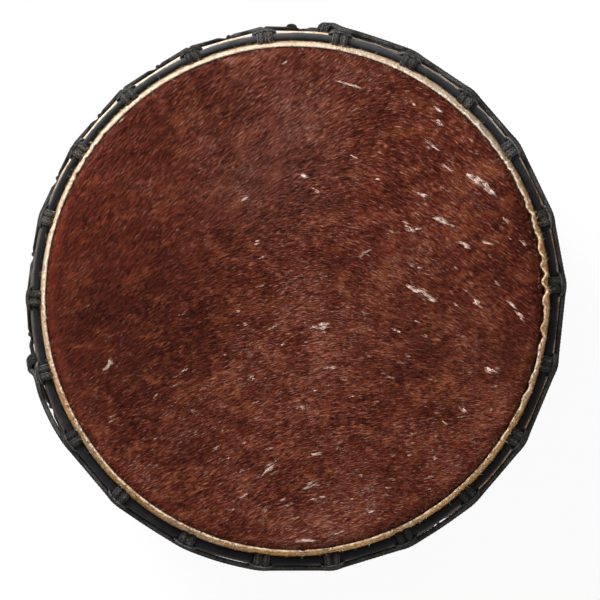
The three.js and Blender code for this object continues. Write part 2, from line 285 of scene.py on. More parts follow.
# The hair: how many strands, where they end, how far they stray from the lie in radians, and the least and
# most of each of their sizes
HAIR_LAYERS = 4
HAIR = SimpleNamespace(
    count=15000, root_radius=0.2278, tip_radius=0.2290, sink=0.00025, stray=0.11, cut_share=0.4,
    bend_share=0.8, tones=(-0.3, 0.8, 1.6),
    lengths=(0.003, 0.008), lifts=(0.0002, 0.0005), widths=(0.00016, 0.00042),
)
RIM_HAIR = SimpleNamespace(
    count=3500, radii=(0.2245, 0.2280), sink=0.0001, stray=0.6, slopes=(-0.55, -0.25),
    lengths=(0.0020, 0.0045), lifts=(0.0003, 0.0008), widths=(0.00018, 0.00036),
)
FIBRES = SimpleNamespace(
    count=1800, offsets=(0.0002, 0.0040), drops=(-0.0004, 0.0016), least=0.0008, most=0.006,
    stray=1.1, slope=(-0.05, 0.35), cream_share=0.72, evenness=2.2,
    lifts=(-0.0004, 0.0008), widths=(0.00012, 0.00030),
)
HEAD_END = 0.2275

# The tufts strewn between the photographed ones: how many are tried, how far out, how much of right to low
# they favour and over what distance, their least and most length, width and thickness, how much more fawn
# they are, and how much more fawn the low ones are, with the rows of pixels over which that comes in
STREWN_FLECKS = 210
STREWN_REACH = 0.215
STREWN_SLANT = 0.9
STREWN_FADE = 0.25
STREWN_SIZES = ((5, 2, 0.05), (11, 3.5, 0.55))
STREWN_FAWN = 0.9
LOW_FAWN = 0.6
LOW_PIXELS = (340, 90)

# A tuft: how many pixels a lock of it fills, and its fewest hairs and how many more where it is thick. As
# shares of its length and width, how far apart its locks lie, how far hairs stray, how long they are and how
# large its core is. Then how locks and hairs turn in radians, how they pale, and the hairs' sizes
FLECK = SimpleNamespace(
    lock_pixels=30, fewest=6, more=44, apart=(0.42, 0.40), stray=(0.10, 0.11), long=(0.40, 0.12), core=0.3,
    lock_turn=0.10, hair_turn=0.12, uneven=0.6, tones=(0.3, 1.2),
    pixels=(2.5, 8), rise=0.0001, lifts=(0.0004, 0.0007), widths=(0.00016, 0.00036),
)

# White flecks in the coat as the photograph shows them: pixel, angle of the hair in degrees, how long and how
# wide the tuft is in pixels, and how thick it stands
FLECK_PIXELS = (
    (350, 87, -18, 26, 3, 1.0), (285, 64, 20, 7, 3, 0.4), (302, 177, -8, 14, 5, 0.9),
    (316, 191, -25, 9, 4, 0.6), (354, 158, -22, 8, 3, 0.5), (244, 199, 20, 10, 4, 0.6),
    (256, 243, 25, 10, 4, 0.5), (369, 253, 25, 18, 5, 0.5), (423, 195, -20, 13, 5, 0.8),
    (476, 181, -22, 18, 7, 1.6), (491, 191, -45, 18, 6, 1.3), (445, 222, -24, 24, 6, 1.1),
    (468, 246, -25, 12, 6, 1.4), (418, 290, -28, 17, 6, 1.2), (432, 298, -22, 14, 6, 1.0),
    (480, 304, -35, 12, 5, 0.7), (513, 306, -40, 14, 5, 1.0), (522, 316, -45, 12, 5, 0.9),
    (320, 326, 12, 15, 7, 1.5), (398, 330, -20, 9, 4, 0.5), (108, 364, 40, 11, 7, 1.2),
    (184, 370, 35, 8, 4, 0.4), (253, 377, 25, 8, 4, 0.5), (330, 367, 15, 10, 5, 0.7),
    (492, 370, -25, 14, 6, 1.0), (155, 395, 30, 8, 4, 0.4), (300, 407, 15, 9, 5, 0.8),
    (466, 410, -50, 12, 5, 0.8), (445, 422, -35, 9, 4, 0.5), (315, 454, 8, 14, 4, 0.9),
    (268, 467, 35, 22, 7, 1.0), (310, 484, 28, 18, 6, 0.9), (372, 510, 20, 10, 4, 0.5),
    (307, 539, 6, 18, 5, 1.3), (442, 112, -25, 12, 4, 0.9), (442, 125, -32, 9, 5, 0.9),
    (414, 106, -30, 5, 3, 0.8), (434, 146, -38, 22, 3, 0.5), (450, 170, -30, 12, 3, 0.5),
    (488, 244, -12, 14, 3, 0.6), (412, 231, -28, 12, 5, 0.8), (406, 222, -24, 8, 3, 0.6),
    (419, 229, 20, 6, 3, 0.9), (508, 221, -40, 8, 4, 0.6), (524, 243, -40, 10, 4, 0.6),
    (417, 268, -15, 10, 4, 0.5), (242, 495, 30, 12, 4, 0.6), (265, 508, 35, 9, 4, 0.6),
    (320, 497, 10, 14, 4, 0.9), (217, 447, 25, 10, 3, 0.6), (245, 442, 30, 7, 3, 0.5),
    (340, 530, 25, 12, 4, 0.6), (270, 448, 12, 8, 3, 0.5), (379, 180, -20, 6, 3, 0.3),
    (262, 258, 20, 7, 3, 0.4), (120, 122, 45, 6, 3, 0.5),
)

# The camera, straight above the playing surface, and how the photograph lies on that surface
METRES_PER_PIXEL = 0.000914
AXIS_PIXEL = (293.8, 298.0)
IMAGE_PIXELS = 600
CAMERA_DISTANCE = 8.0
CAMERA_REACH = 50.0
SENSOR = 36.0

# The stage: the surround's strength at the horizon and overhead, the floor, and each lamp's place, size and
# power, with the direction that the light comes from across the drum
SURROUND_LOW = 0.50
SURROUND_HIGH = 0.14
SURROUND_RISE = 0.8
SEEN_SURROUND = (0.8, 0.8, 0.8)
FLOOR_HALF = 30.0
FLOOR_GAP = 0.0005
FLOOR_COLOUR = (0.93, 0.93, 0.93)
FLOOR_GLOW_SHARE = 0.93
LAMPS = (("key", (-1.9, 2.5, 2.5), 1.5, 214.0), ("fill", (1.2, -1.2, 3.2), 2.0, 36.0))
LIT_SIDE = (-0.5, 0.87, 0.0)


# Small tools


def around(angle, radius, z):
    """The point at a place round the drum, or the points at many."""
    return np.stack(np.broadcast_arrays(radius * np.cos(angle), radius * np.sin(angle), z), -1)


def whole_turn(count):
    return np.linspace(0, 2 * math.pi, count, endpoint=False)


def unit(vectors):
    return vectors / np.linalg.norm(vectors, axis=-1, keepdims=True)


def mix(a, b, share):
    return a + (b - a) * share


def smoothstep(x):
    x = np.clip(x, 0, 1)
    return x * x * (3 - 2 * x)


def ripple(angles, lowest, highest, size, seed):
    """A random wave round the drum that closes on itself, made of whole waves from lowest to highest."""
    waves = np.random.default_rng(SEED + seed)
    counts = np.arange(lowest, highest + 1)
    phases = waves.uniform(0, 2 * math.pi, len(counts))
    parts = waves.normal(0, 1, len(counts))
    total = (parts * np.sin(np.outer(angles, counts) + phases)).sum(axis=1)
    return size * total / math.sqrt(len(counts))


def away_from(angles, degrees):
    """How far places round the drum are from one given in degrees, from 0 to half a turn."""
    return np.abs((angles - math.radians(degrees) + math.pi) % (2 * math.pi) - math.pi)


def within(angles, zone):
    """1 near a zone's middle, falling to 0 beyond its reach."""
    return smoothstep(1.3 - away_from(angles, zone.middle) / math.radians(zone.reach))


def crown_radius(angle):
    """The radius of the crown ring's middle line at a place round the drum."""
    bow = sum(size * np.cos(count * (angle - math.radians(peak))) for count, size, peak in RING_BOWS)
    return CROWN_RING_RADIUS + bow


def bowed(radius, bows, angle):
    return radius + np.interp(np.degrees(angle), BOW_PLACES, bows, period=360)


def from_pixel(x, y):
    """The place on the playing surface that a pixel of the photograph shows."""
    return (x - AXIS_PIXEL[0]) * METRES_PER_PIXEL, (AXIS_PIXEL[1] - y) * METRES_PER_PIXEL


def to_world(points, end):
    """Moves points drawn for the top end, with z from the playing surface, to their end of the drum."""
    return points + (0, 0, HEIGHT) if end == "top" else points * (1, -1, -1)


def make_object(name, points, faces, materials, face_slots=None, uv=None):
    """A mesh object. The drum is a little oval, so every point is drawn in or out by that share."""
    points = points * (1 - OVAL_SHARE, 1 + OVAL_SHARE, 1)
    mesh = bpy.data.meshes.new(name)
    mesh.from_pydata(points.tolist(), [], faces if isinstance(faces, list) else faces.tolist())
    for material in materials:
        mesh.materials.append(material)
    if face_slots is not None:
        mesh.polygons.foreach_set("material_index", face_slots.astype(np.int32))
    if uv is not None:
        mesh.uv_layers.new(name="Along").uv.foreach_set("vector", uv.astype(np.float32).ravel())
    mesh.polygons.foreach_set("use_smooth", np.ones(len(mesh.polygons), bool))
    mesh.update()
    thing = bpy.data.objects.new(name, mesh)
    bpy.context.scene.collection.objects.link(thing)
    return thing


def grid_faces(rows, columns, wrap_rows):
    """Quads over rings of points held row by row, closed from the last row to the first where asked."""
    i = np.arange(rows if wrap_rows else rows - 1)[:, None]
    j = np.arange(columns)[None, :]
    after_i = (i + 1) % rows
    after_j = (j + 1) % columns
    corners = (i * columns + j, after_i * columns + j, after_i * columns + after_j, i * columns + after_j)
    return np.stack(corners, -1).reshape(-1, 4)


def tube_map(runs, sides):
    """A tube's map, the share of a turn round it and the run along it, from the run at each row."""
    i = np.repeat(np.arange(len(runs) - 1), sides)
    j = np.tile(np.arange(sides), len(runs) - 1)
    left, right = j / sides, (j + 1) / sides
    here, there = runs[i], runs[i + 1]
    corners = ((left, here), (left, there), (right, there), (right, here))
    return np.stack([np.stack(pair, -1) for pair in corners], 1).reshape(-1, 2)


def turned(name, outlines, angles, end, materials, **maps):
    """A closed body turned round the axis from one closed outline of (radius, z) at each angle."""
    points = around(angles[:, None], outlines[..., 0], outlines[..., 1])
    if end:
        points = to_world(points, end)
    faces = grid_faces(*outlines.shape[:2], True)
    return make_object(name, points.reshape(-1, 3), faces, materials, **maps)


def repeated(outline, angles):
    """One outline, again at each angle."""
    return np.repeat(np.array(outline)[None], len(angles), axis=0)


def arc(centre, size, start, stop, steps):
    """Points of an arc in an outline's plane, from one angle to another in degrees."""
    angles = np.radians(np.linspace(start, stop, steps + 1))
    return [(centre[0] + size * math.cos(a), centre[1] + size * math.sin(a)) for a in angles]


# Materials


class Value:
    """What a node gives. Sums with it add math nodes."""

    def __init__(self, nodes, socket):
        self.nodes = nodes
        self.socket = socket

    def __add__(self, other):
        return self.nodes.math("ADD", self, other)

    def __sub__(self, other):
        return self.nodes.math("SUBTRACT", self, other)

    def __rsub__(self, other):
        return self.nodes.math("SUBTRACT", other, self)

    def __mul__(self, other):
        return self.nodes.math("MULTIPLY", self, other)

    def __truediv__(self, other):
        return self.nodes.math("DIVIDE", self, other)


class Nodes:
    """A node tree, with short ways to add to it. Inputs take numbers, colours, places or values."""

    def __init__(self, owner):
        owner.use_nodes = True
        self.tree = owner.node_tree

    def feed(self, node, values):
        """Sets a node's inputs, or links them to what other nodes give."""
        for name, value in values.items():
            socket = node.inputs[name]
            if isinstance(value, Value):
                self.tree.links.new(value.socket, socket)
            elif socket.type == "RGBA":
                socket.default_value = (*value, 1)
            else:
                socket.default_value = value

    def put(self, kind, values=None, out=0, **settings):
        node = self.tree.nodes.new(kind)
        for setting, value in settings.items():
            setattr(node, setting, value)
        self.feed(node, values or {})
        return Value(self, node.outputs[out])

    def math(self, operation, a, b=0.0):
        return self.put("ShaderNodeMath", {0: a, 1: b}, operation=operation)

    def vector_math(self, operation, a, b=(0, 0, 0)):
        return self.put("ShaderNodeVectorMath", {0: a, 1: b}, "Value", operation=operation)

    def parts(self, place):
        """The x, y and z of a place."""
        outputs = self.put("ShaderNodeSeparateXYZ", {0: place}).socket.node.outputs
        return [Value(self, output) for output in outputs]

    def seen(self, output, plain, shown, share):
        """Feeds the tree's output, with another shader by a share where the camera, gloss or glass looks."""
        looks = self.put("ShaderNodeLightPath", out="Is Camera Ray")
        for kind in ("Is Glossy Ray", "Is Transmission Ray"):
            looks = self.math("MAXIMUM", looks, self.put("ShaderNodeLightPath", out=kind))
        mixed = self.put("ShaderNodeMixShader", {0: looks * share, 1: plain, 2: shown})
        self.feed(self.tree.nodes[output], {"Surface": mixed})


class Shader(Nodes):
    """A new material's node tree, with the values that its surface keeps."""

    def __init__(self, name, roughness, specular=0.5, metallic=0.0):
        self.material = bpy.data.materials.new(name)
        super().__init__(self.material)
        self.surface = self.tree.nodes["Principled BSDF"]
        fixed = {"Roughness": roughness, "Specular IOR Level": specular, "Metallic": metallic}
        self.feed(self.surface, fixed)

    def place(self):
        return self.put("ShaderNodeTexCoord", out="Object")

    def flat_place(self, end="top"):
        """The place seen from above the end's head, with no height."""
        return self.scaled(self.place(), (1, 1 if end == "top" else -1, 0))

    def map_of(self, name):
        return self.put("ShaderNodeUVMap", uv_map=name)

    def scaled(self, place, scale, turn=0.0):
        """Turns places about Z by an angle in degrees, then scales them."""
        if turn:
            values = {"Vector": place, "Angle": -math.radians(turn)}
            place = self.put("ShaderNodeVectorRotate", values, rotation_type="Z_AXIS")
        return self.put("ShaderNodeVectorMath", {0: place, 1: scale}, operation="MULTIPLY")

    def noise(self, place, scale, detail, rough=0.5, bend=0.0):
        """Noise at a scale, which may differ along x, y and z."""
        if isinstance(scale, tuple):
            place, scale = self.scaled(place, scale), 1.0
        values = {"Vector": place, "Scale": scale, "Detail": detail, "Roughness": rough, "Distortion": bend}
        return self.put("ShaderNodeTexNoise", values)

    def spread(self, value, low, high, to_low=0.0, to_high=1.0):
        """Maps low to high smoothly onto another range, and holds it there."""
        values = {"Value": value, "From Min": low, "From Max": high, "To Min": to_low, "To Max": to_high}
        return self.put("ShaderNodeMapRange", values, interpolation_type="SMOOTHSTEP")

    def near(self, flat, centre, radius):
        """1 at a centre, falling to 0 at a radius from it."""
        return self.spread(self.vector_math("DISTANCE", flat, (*centre, 0.0)), 0.0, radius, 1.0, 0.0)

    def towards(self, direction):
        """How far the place lies in a direction from the drum's axis."""
        return self.vector_math("DOT_PRODUCT", self.place(), direction)

    def from_middle(self):
        """How far up or down the place lies from the drum's middle."""
        return self.math("ABSOLUTE", self.parts(self.place())[2] - MIDDLE)

    def sine(self, value):
        return self.math("SINE", value)

    def ramp(self, value, *stops):
        """A colour for each of some levels of a value, and what lies between."""
        output = self.put("ShaderNodeValToRGB", {0: value})
        elements = output.socket.node.color_ramp.elements
        while len(elements) < len(stops):
            elements.new(1.0)
        for element, (position, colour) in zip(elements, stops):
            element.position = position
            element.color = (*colour, 1)
        return output

    def layers(self, base, *over):
        """Lays colours over a base, one after the other, each by its share."""
        for share, colour in over:
            base = self.put("ShaderNodeMix", {0: share, 6: base, 7: colour}, 2, data_type="RGBA")
        return base

    def finished(self, colour, *bumps, **others):
        """The material, with its colour, its bumps of (height, depth in metres) and other inputs."""
        linked = {}
        for height, depth in bumps:
            values = {"Height": height, "Distance": depth, "Strength": 1.0, **linked}
            linked = {"Normal": self.put("ShaderNodeBump", values)}
        self.feed(self.surface, {"Base Color": colour, **linked, **others})
        return self.material


def hide_material(end):
    """The head's hair side, mottled rust and maroon, drawn out along the hair."""
    s = Shader(f"{end}_hair_on_hide", 0.62, 0.07)
    flat = s.flat_place(end)
    lie = s.map_of("Lie")
    wide = s.noise(flat, 9, 3, 0.6, 0.6)
    mottle = s.noise(s.scaled(flat, (34, 52, 34), 20), 1, 4, 0.65, 0.8)
    coarse = s.noise(lie, (80, 420, 1), 3, 0.6, 0.3)
    fine = s.noise(lie, (170, 1250, 1), 3, 0.6)
    tone = coarse * 0.55 + fine * 1.15 - 0.222 + (mottle - 0.5) * 0.5 + (wide - 0.5) * 0.40
    for centre, reach, change in TONE_PATCHES:
        tone = tone + s.near(flat, centre, reach) * change
    coat = s.ramp(
        tone,
        (0.40, (0.022, 0.0026, 0.0011)),
        (0.53, (0.064, 0.0088, 0.0036)),
        (0.66, (0.118, 0.0205, 0.0088)),
        (0.78, (0.200, 0.058, 0.035)),
        (0.90, (0.38, 0.18, 0.135)),
    )
    colour = s.layers(
        coat,
        (s.spread(mottle, 0.50, 0.64) * 0.325, (0.245, 0.066, 0.019)),
        (s.near(flat, *RED_PATCH) * 0.33, (0.160, 0.022, 0.007)),
        (s.near(flat, *GREY_PATCH) * 0.25, (0.19, 0.075, 0.060)),
        # Painted highlight: pale greyish glints of sheen on the peaks of the fine streaks along the hair
        (s.spread(fine, 0.59, 0.70) * 0.55, (0.34, 0.185, 0.145)),
        # Painted shade: the coat darker towards the rim, where the head rounds over
        (s.spread(s.vector_math("LENGTH", flat), *RIM_SHADE_RADII) * 0.12, (0.045, 0.010, 0.006)),
    )
    roughness = s.spread(fine, 0.3, 0.75, 0.72, 0.5)
    return s.finished(colour, *zip((coarse, fine), COAT_BUMPS), Roughness=roughness)


def hair_material(name, low, high):
    """Single hairs: each a little lighter or darker than the next."""
    s = Shader(name, 0.5, 0.15)
    tone = s.noise(s.place(), 260, 1)
    return s.finished(s.layers(low, (s.spread(tone, 0.35, 0.68), high)))


def rawhide_material(name, tones, amber_share):
    """The flesh side or the cut of the hide: cream to amber, with brown specks and fibres."""
    s = Shader(name, 0.6, 0.25)
    place = s.place()
    patches = s.noise(place, 60, 5, 0.7, 0.6)
    amber = s.noise(place, 13, 3, 0.6)
    fibres = s.noise(place, (900, 900, 150), 3, 0.7)
    specks = s.noise(place, 380, 4, 0.7)
    stains = s.noise(place, 130, 3, 0.6, 0.4)
    low = s.spread(s.towards(AMBER_SIDE), *AMBER_SPAN)
    marked = low * 0.45 + 0.55
    # Painted shade: near black low on the fold, on the lower left side, with a wandering edge
    painted_fold_shade = s.spread(s.towards(FOLD_SHADE_SIDE) + amber * FOLD_SHADE_WANDER, *FOLD_SHADE_SPAN)
    inside = s.spread(s.from_middle(), *FOLD_SHADE_LEVELS)
    speckled = s.spread(specks, 0.50, 0.57) * s.spread(patches, 0.36, 0.54, 0.3, 1.0)
    golden = s.layers((0.62, 0.25, 0.05), (s.spread(fibres, 0.35, 0.65), (0.95, 0.56, 0.18)))
    colour = s.layers(
        s.ramp(patches * 0.6 + fibres * 0.4, *zip((0.34, 0.46, 0.56, 0.68), tones)),
        (low * s.spread(amber, 0.35, 0.58, 0.45, 1.0) * amber_share, golden),
        (s.spread(patches, 0.50, 0.66) * 0.45, (0.55, 0.28, 0.11)),
        (s.spread(stains, 0.52, 0.64, 0.0, 0.6) * marked, (0.36, 0.13, 0.038)),
        (speckled * marked * 0.85, (0.15, 0.052, 0.018)),
        (painted_fold_shade * inside * 0.9, (0.020, 0.011, 0.007)),
    )
    return s.finished(colour, *zip((fibres, specks), RAWHIDE_BUMPS))


def cloth_material():
    """Black cotton strips wound tight, with a little painted light where they stand proud on the upper left.
    """
    s = Shader("wound_black_cloth", 0.34, 0.12)
    place, flat = s.place(), s.flat_place()
    turn, run, _ = s.parts(s.map_of("Along"))
    weave = s.sine((turn * CLOTH_ROUND + run) * THREADS) * s.sine((turn * CLOTH_ROUND - run) * THREADS)
    wear = s.noise(place, 46, 3, 0.6)
    lint = s.noise(place, 700, 2)
    # Painted light: paler on the outer side of the ring at the upper left, broken up by the wear
    painted_cloth_light = s.near(flat, *CLOTH_LIGHT_PATCH) * s.spread(s.vector_math("LENGTH", flat), *CLOTH_LIGHT_RADII)
    base_tone = s.ramp(
        wear * 0.7 + lint * 0.3,
        (0.38, (0.0028, 0.0029, 0.0040)),
        (0.56, (0.0065, 0.0068, 0.0090)),
        (0.70, (0.020, 0.019, 0.021)),
    )
    colour = s.layers(
        base_tone,
        (painted_cloth_light * s.spread(wear, 0.25, 0.60, 0.5, 1.0), (0.105, 0.105, 0.115)),
        (s.spread(weave, -0.4, 0.9) * 0.35, (0.020, 0.021, 0.025)),
    )
    roughness = s.spread(s.towards(LIT_SIDE), *GLOSS_SPAN, 0.62, 0.34)
    return s.finished(colour, *zip((weave, wear), CLOTH_BUMPS), Roughness=roughness)


def rope_material(name, make):
    """Braided rope. Its map holds the share of a turn round it and the metres along it."""
    s = Shader(name, 0.55, 0.14)
    place = s.place()
    turn, run, _ = s.parts(s.map_of("Along"))
    a = turn * make.picks + run / make.lead
    b = turn * make.picks - run / make.lead
    crossing = s.sine(a * math.pi) * s.sine(b * math.pi)
    pick = s.math("POWER", s.math("ABSOLUTE", crossing), 0.55)
    over = s.spread(crossing, -0.02, 0.02)
    yarns = s.sine(b * (8 * math.pi)) * over + s.sine(a * (8 * math.pi)) * (1.0 - over)
    height = pick * 0.8 + yarns * 0.10
    worn = s.noise(place, 52, 4, 0.65)
    thin_wear = s.noise(place, 420, 2, 0.6)
    fuzz = s.noise(place, 1300, 2, 0.6)
    side = s.math("ABSOLUTE", s.math("COSINE", turn * (2 * math.pi)))
    rubbed_and_lit = s.spread(worn, 0.42, 0.62) * s.spread(height, 0.40, 0.80)
    rubbed_and_lit = rubbed_and_lit * s.spread(side, 0.55, 1.0, 0.35, 0.85)
    # Painted light: the rubbed wear paler towards the lit side and fainter away from it
    rubbed_and_lit = rubbed_and_lit * s.spread(s.towards(LIT_SIDE), *ROPE_LIGHT_SPAN, 0.25, 1.0)
    hitched = s.spread(s.from_middle(), *HITCH_LEVELS, 0.25, 1.0)
    # Chafing on the rope's broad edges, and a painted highlight along its crest, both strongest at the
    # hitches
    lit = s.math("MAXIMUM", s.spread(side, 0.62, 0.20) * 0.26, s.spread(side, 0.80, 0.97) * 0.60)
    chafed_and_highlit = lit * s.spread(worn, 0.36, 0.58, 0.20, 1.0) * s.spread(thin_wear, 0.36, 0.60, 0.25, 1.0)
    # Painted shade: the braid's hollows far darker than its picks, on the black of the rope
    base_tone = s.ramp(
        height,
        (0.10, (0.0020, 0.0019, 0.0019)),
        (0.45, (0.0085, 0.0080, 0.0080)),
        (0.85, (0.030, 0.0275, 0.026)),
    )
    colour = s.layers(
        base_tone,
        (rubbed_and_lit * make.wear_and_light_share, (0.33, 0.30, 0.27)),
        (chafed_and_highlit * hitched * make.wear_and_light_share, (0.38, 0.36, 0.34)),
        (s.spread(fuzz, 0.58, 0.70) * 0.30, (0.070, 0.064, 0.058)),
    )
    return s.finished(colour, *zip((pick, yarns, fuzz), ROPE_BUMPS))


def wood_material():
    """The carved shell: reddish-brown hardwood, grain upright, with the tool's facets and dark pores."""
    s = Shader("carved_shell_wood", 0.5, 0.45)
    place = s.place()
    bands = s.noise(place, (8, 8, 1.6), 3, 0.5, 0.4)
    rings = s.sine(s.noise(place, (9, 9, 0.9), 1, 0.5, 0.3) * 95.0)
    grain = s.noise(place, (210, 210, 6), 4, 0.65, 0.5)
    holes = s.spread(s.noise(place, (620, 620, 34), 2, 0.55), 0.60, 0.70)
    stain = s.noise(place, 7, 4, 0.6)
    timber = s.ramp(
        bands * 0.35 + grain * 0.65 + rings * 0.028,
        (0.34, (0.055, 0.018, 0.0070)),
        (0.47, (0.125, 0.046, 0.0175)),
        (0.58, (0.205, 0.085, 0.033)),
        (0.70, (0.290, 0.135, 0.056)),
    )
    colour = s.layers(
        timber,
        (s.spread(stain, 0.5, 0.72, 0.0, 0.5), (0.072, 0.026, 0.011)),
        (holes * 0.7, (0.028, 0.010, 0.005)),
    )
    roughness = s.spread(grain, 0.3, 0.7, 0.56, 0.40)
    return s.finished(colour, *zip((grain, 1.0 - holes), WOOD_BUMPS), Roughness=roughness)


def steel_material():
    """Round steel rod, dulled, with its drawing marks and specks of rust."""
    s = Shader("dull_steel_rod", 0.42, metallic=1.0)
    place = s.place()
    marks = s.noise(place, (90, 90, 1500), 3)
    rust = s.noise(place, 130, 5, 0.7)
    steel = s.ramp(marks, (0.3, (0.24, 0.225, 0.21)), (0.7, (0.46, 0.44, 0.415)))
    colour = s.layers(steel, (s.spread(rust, 0.56, 0.68), (0.115, 0.042, 0.018)))
    roughness = s.spread(rust, 0.5, 0.68, 0.36, 0.8)
    return s.finished(colour, *zip((marks,), STEEL_BUMPS), Roughness=roughness)


# The ropes' routes, as stations: the place, the direction across the thin side, and the half sizes


def station(p, n=None, thin=LACING_RADIUS, broad=LACING_RADIUS):
    return SimpleNamespace(p=np.asarray(p, float), n=n, thin=thin, broad=broad)


def hooks_of(knots):
    """The places halfway from each knot to the next, clockwise."""
    after = [*knots[1:], knots[0] - 2 * math.pi]
    return [(here + there) / 2 for here, there in zip(knots, after)]


top_knots = [
    math.radians(FIRST_KNOT_DEGREES) - PITCH * (i - drift) for i, drift in enumerate(KNOT_DRIFT_SHARES)
]
top_hooks = hooks_of(top_knots)
bottom_knots = top_hooks
bottom_hooks = hooks_of(bottom_knots)


def turn_station(angle, degrees, rise, thin, broad):
    """A station on the crown ring, at a place round the drum and so many degrees round the ring."""
    a = math.radians(degrees)
    n = around(angle, math.cos(a), math.sin(a))
    return station(around(angle, crown_radius(angle), CROWN_Z) + n * (TURN_SIZE + rise), n, thin, broad)


def leg_station(angle, radius, z):
    place = around(angle, bowed(radius, LEG_BOWS, angle), z)
    return station(place, around(angle, 1.0, 0.0), LEG_FLAT, LEG_BROAD)


def half_hitch(knot, side):
    """Half of the cow hitch: from a V's leg, under the arch, round the ring and out to the arch."""
    apart = HITCH_BROAD * APART_SHARE
    route = []
    for share, z in LEG_SHARES:
        route.append(leg_station(knot - side * share * 2 * apart / LEG_RADIUS, LEG_RADIUS, z))
    for aside, degrees, broad, swell in TURN_SHARES:
        angle = knot - side * aside * apart / CROWN_RING_RADIUS
        rise = swell * HITCH_SWELL
        route.append(turn_station(angle, degrees, rise, HITCH_FLAT + rise, broad * HITCH_BROAD))
    for aside, degrees, broad, lift in ARCH_SHARES:
        angle = knot - side * aside * apart / CROWN_RING_RADIUS
        rise = lift * (HITCH_FLAT + ARCH_FLAT - ARCH_SINK)
        route.append(turn_station(angle, degrees, rise, ARCH_FLAT, broad * HITCH_BROAD))
    return route


def loop_bottom(hook):
    """The bottom of a V, drawn in and bent round the tension rope that passes through it."""
    shoulder_z = HOOK_Z + SHOULDER * SHOULDER_RISE_SHARE
    places = (
        (SHOULDER, CHORD_RADIUS, shoulder_z),
        (LINK_SIZE / 2, HOOK_RADIUS, HOOK_Z),
        (-LINK_SIZE / 2, HOOK_RADIUS, HOOK_Z),
        (-SHOULDER, CHORD_RADIUS, shoulder_z),
    )
    return [leg_station(hook + aside / HOOK_RADIUS, radius, z) for aside, radius, z in places]


def cradle_route(knots):
    route = []
    for knot, hook in zip(knots, hooks_of(knots)):
        route += half_hitch(knot, -1) + half_hitch(knot, 1)[::-1] + loop_bottom(hook)
    return route


def lacing_station(angle, radius, z, facing):
    """A station of the tension rope, at the top end where facing is 1 and at the bottom where it is -1."""
    return station(around(angle, bowed(radius, LEG_BOWS, angle * facing), HEIGHT + z if facing > 0 else -z))


def link_stations(hook, facing, side):
    """The tension rope's half turn through a V. It starts outside where side is 1, inside where it is -1."""
    route = []
    for degrees in (90, 45, 0, -45, -90):
        a = math.radians(degrees)
        aside = LINK_SIZE * math.sin(a) * math.sin(LINK_TWIST)
        beyond = LINK_SIZE * math.sin(a * side) * math.cos(LINK_TWIST)
        z = HOOK_Z + LINK_SIZE * math.cos(a)
        route.append(lacing_station(hook + aside / LINK_RADIUS, LINK_RADIUS + beyond, z, facing))
    return route


def leg_ends(i, side):
    """Where the top of a V's leg is and where its foot is."""
    knot = top_knots[(i if side > 0 else i + 1) % KNOT_COUNT]
    ends = half_hitch(knot, side)[0].p, loop_bottom(top_hooks[i])[0 if side > 0 else -1].p
    return to_world(np.array(ends), "top")


def tie_stations(i, side, climb, radius, place_share, turns, phase):
    """The rope tied round a V's leg: turns tight beside each other, running clockwise, begun at a phase."""
    head, foot = leg_ends(i, side)
    axis = unit(foot - head)
    centre = mix(head, foot, place_share)
    clockwise = unit(np.cross(axis, unit(centre * (1, 1, 0))))
    outside = np.cross(clockwise, axis)
    steps = round(turns * TIE_STEPS)
    route = []
    for k in range(steps + 1):
        a = 2 * math.pi * (k / TIE_STEPS + phase)
        p = centre + axis * climb * (k / steps - 0.5) * turns * 2 * radius
        p = p + outside * (LEG_FLAT + radius) * math.cos(a) + clockwise * (LEG_BROAD + radius) * math.sin(a)
        route.append(station(p, thin=radius, broad=radius))
    return route


def surplus_ties():
    """The ties that begin and end the surplus."""
    first_share, last_share = SURPLUS_TIE_SHARES
    first = tie_stations(0, -1, -1, SURPLUS_RADIUS, first_share, SURPLUS_TIE_TURNS, 0.5)
    last = tie_stations(LAST_TIE_LOOP, 1, 1, SURPLUS_RADIUS, last_share, SURPLUS_TIE_TURNS, 0)
    return first, last


def free_end_station(end, ahead):
    """The end of the rope, a little beyond a tie's last station."""
    angle = math.atan2(end.p[1], end.p[0]) - ahead * FREE_END / LEG_RADIUS
    place = around(angle, math.hypot(*end.p[:2]), end.p[2] - FREE_END / 2)
    return station(place, thin=end.thin, broad=end.broad)


def lacing_route():
    """The tension rope from its free end and first tie, down and up through every V, to where it began."""
    tie = tie_stations(0, 1, 1, FIRST_TIE_RADIUS, FIRST_TIE_SHARE, FIRST_TIE_TURNS, 0.5)
    route = [free_end_station(tie[0], -1), *tie]
    for i in range(KNOT_COUNT):
        if i:
            route += link_stations(top_hooks[i], 1, -1)
        route += link_stations(bottom_hooks[i], -1, 1)
    home = top_hooks[0]
    route.append(lacing_station(home, HOOK_RADIUS - LINK_SIZE, HOOK_Z, 1))
    route.append(lacing_station(home, HOOK_RADIUS, HOOK_Z + 2 * LINK_SIZE, 1))
    return route + surplus_ties()[0][:2]


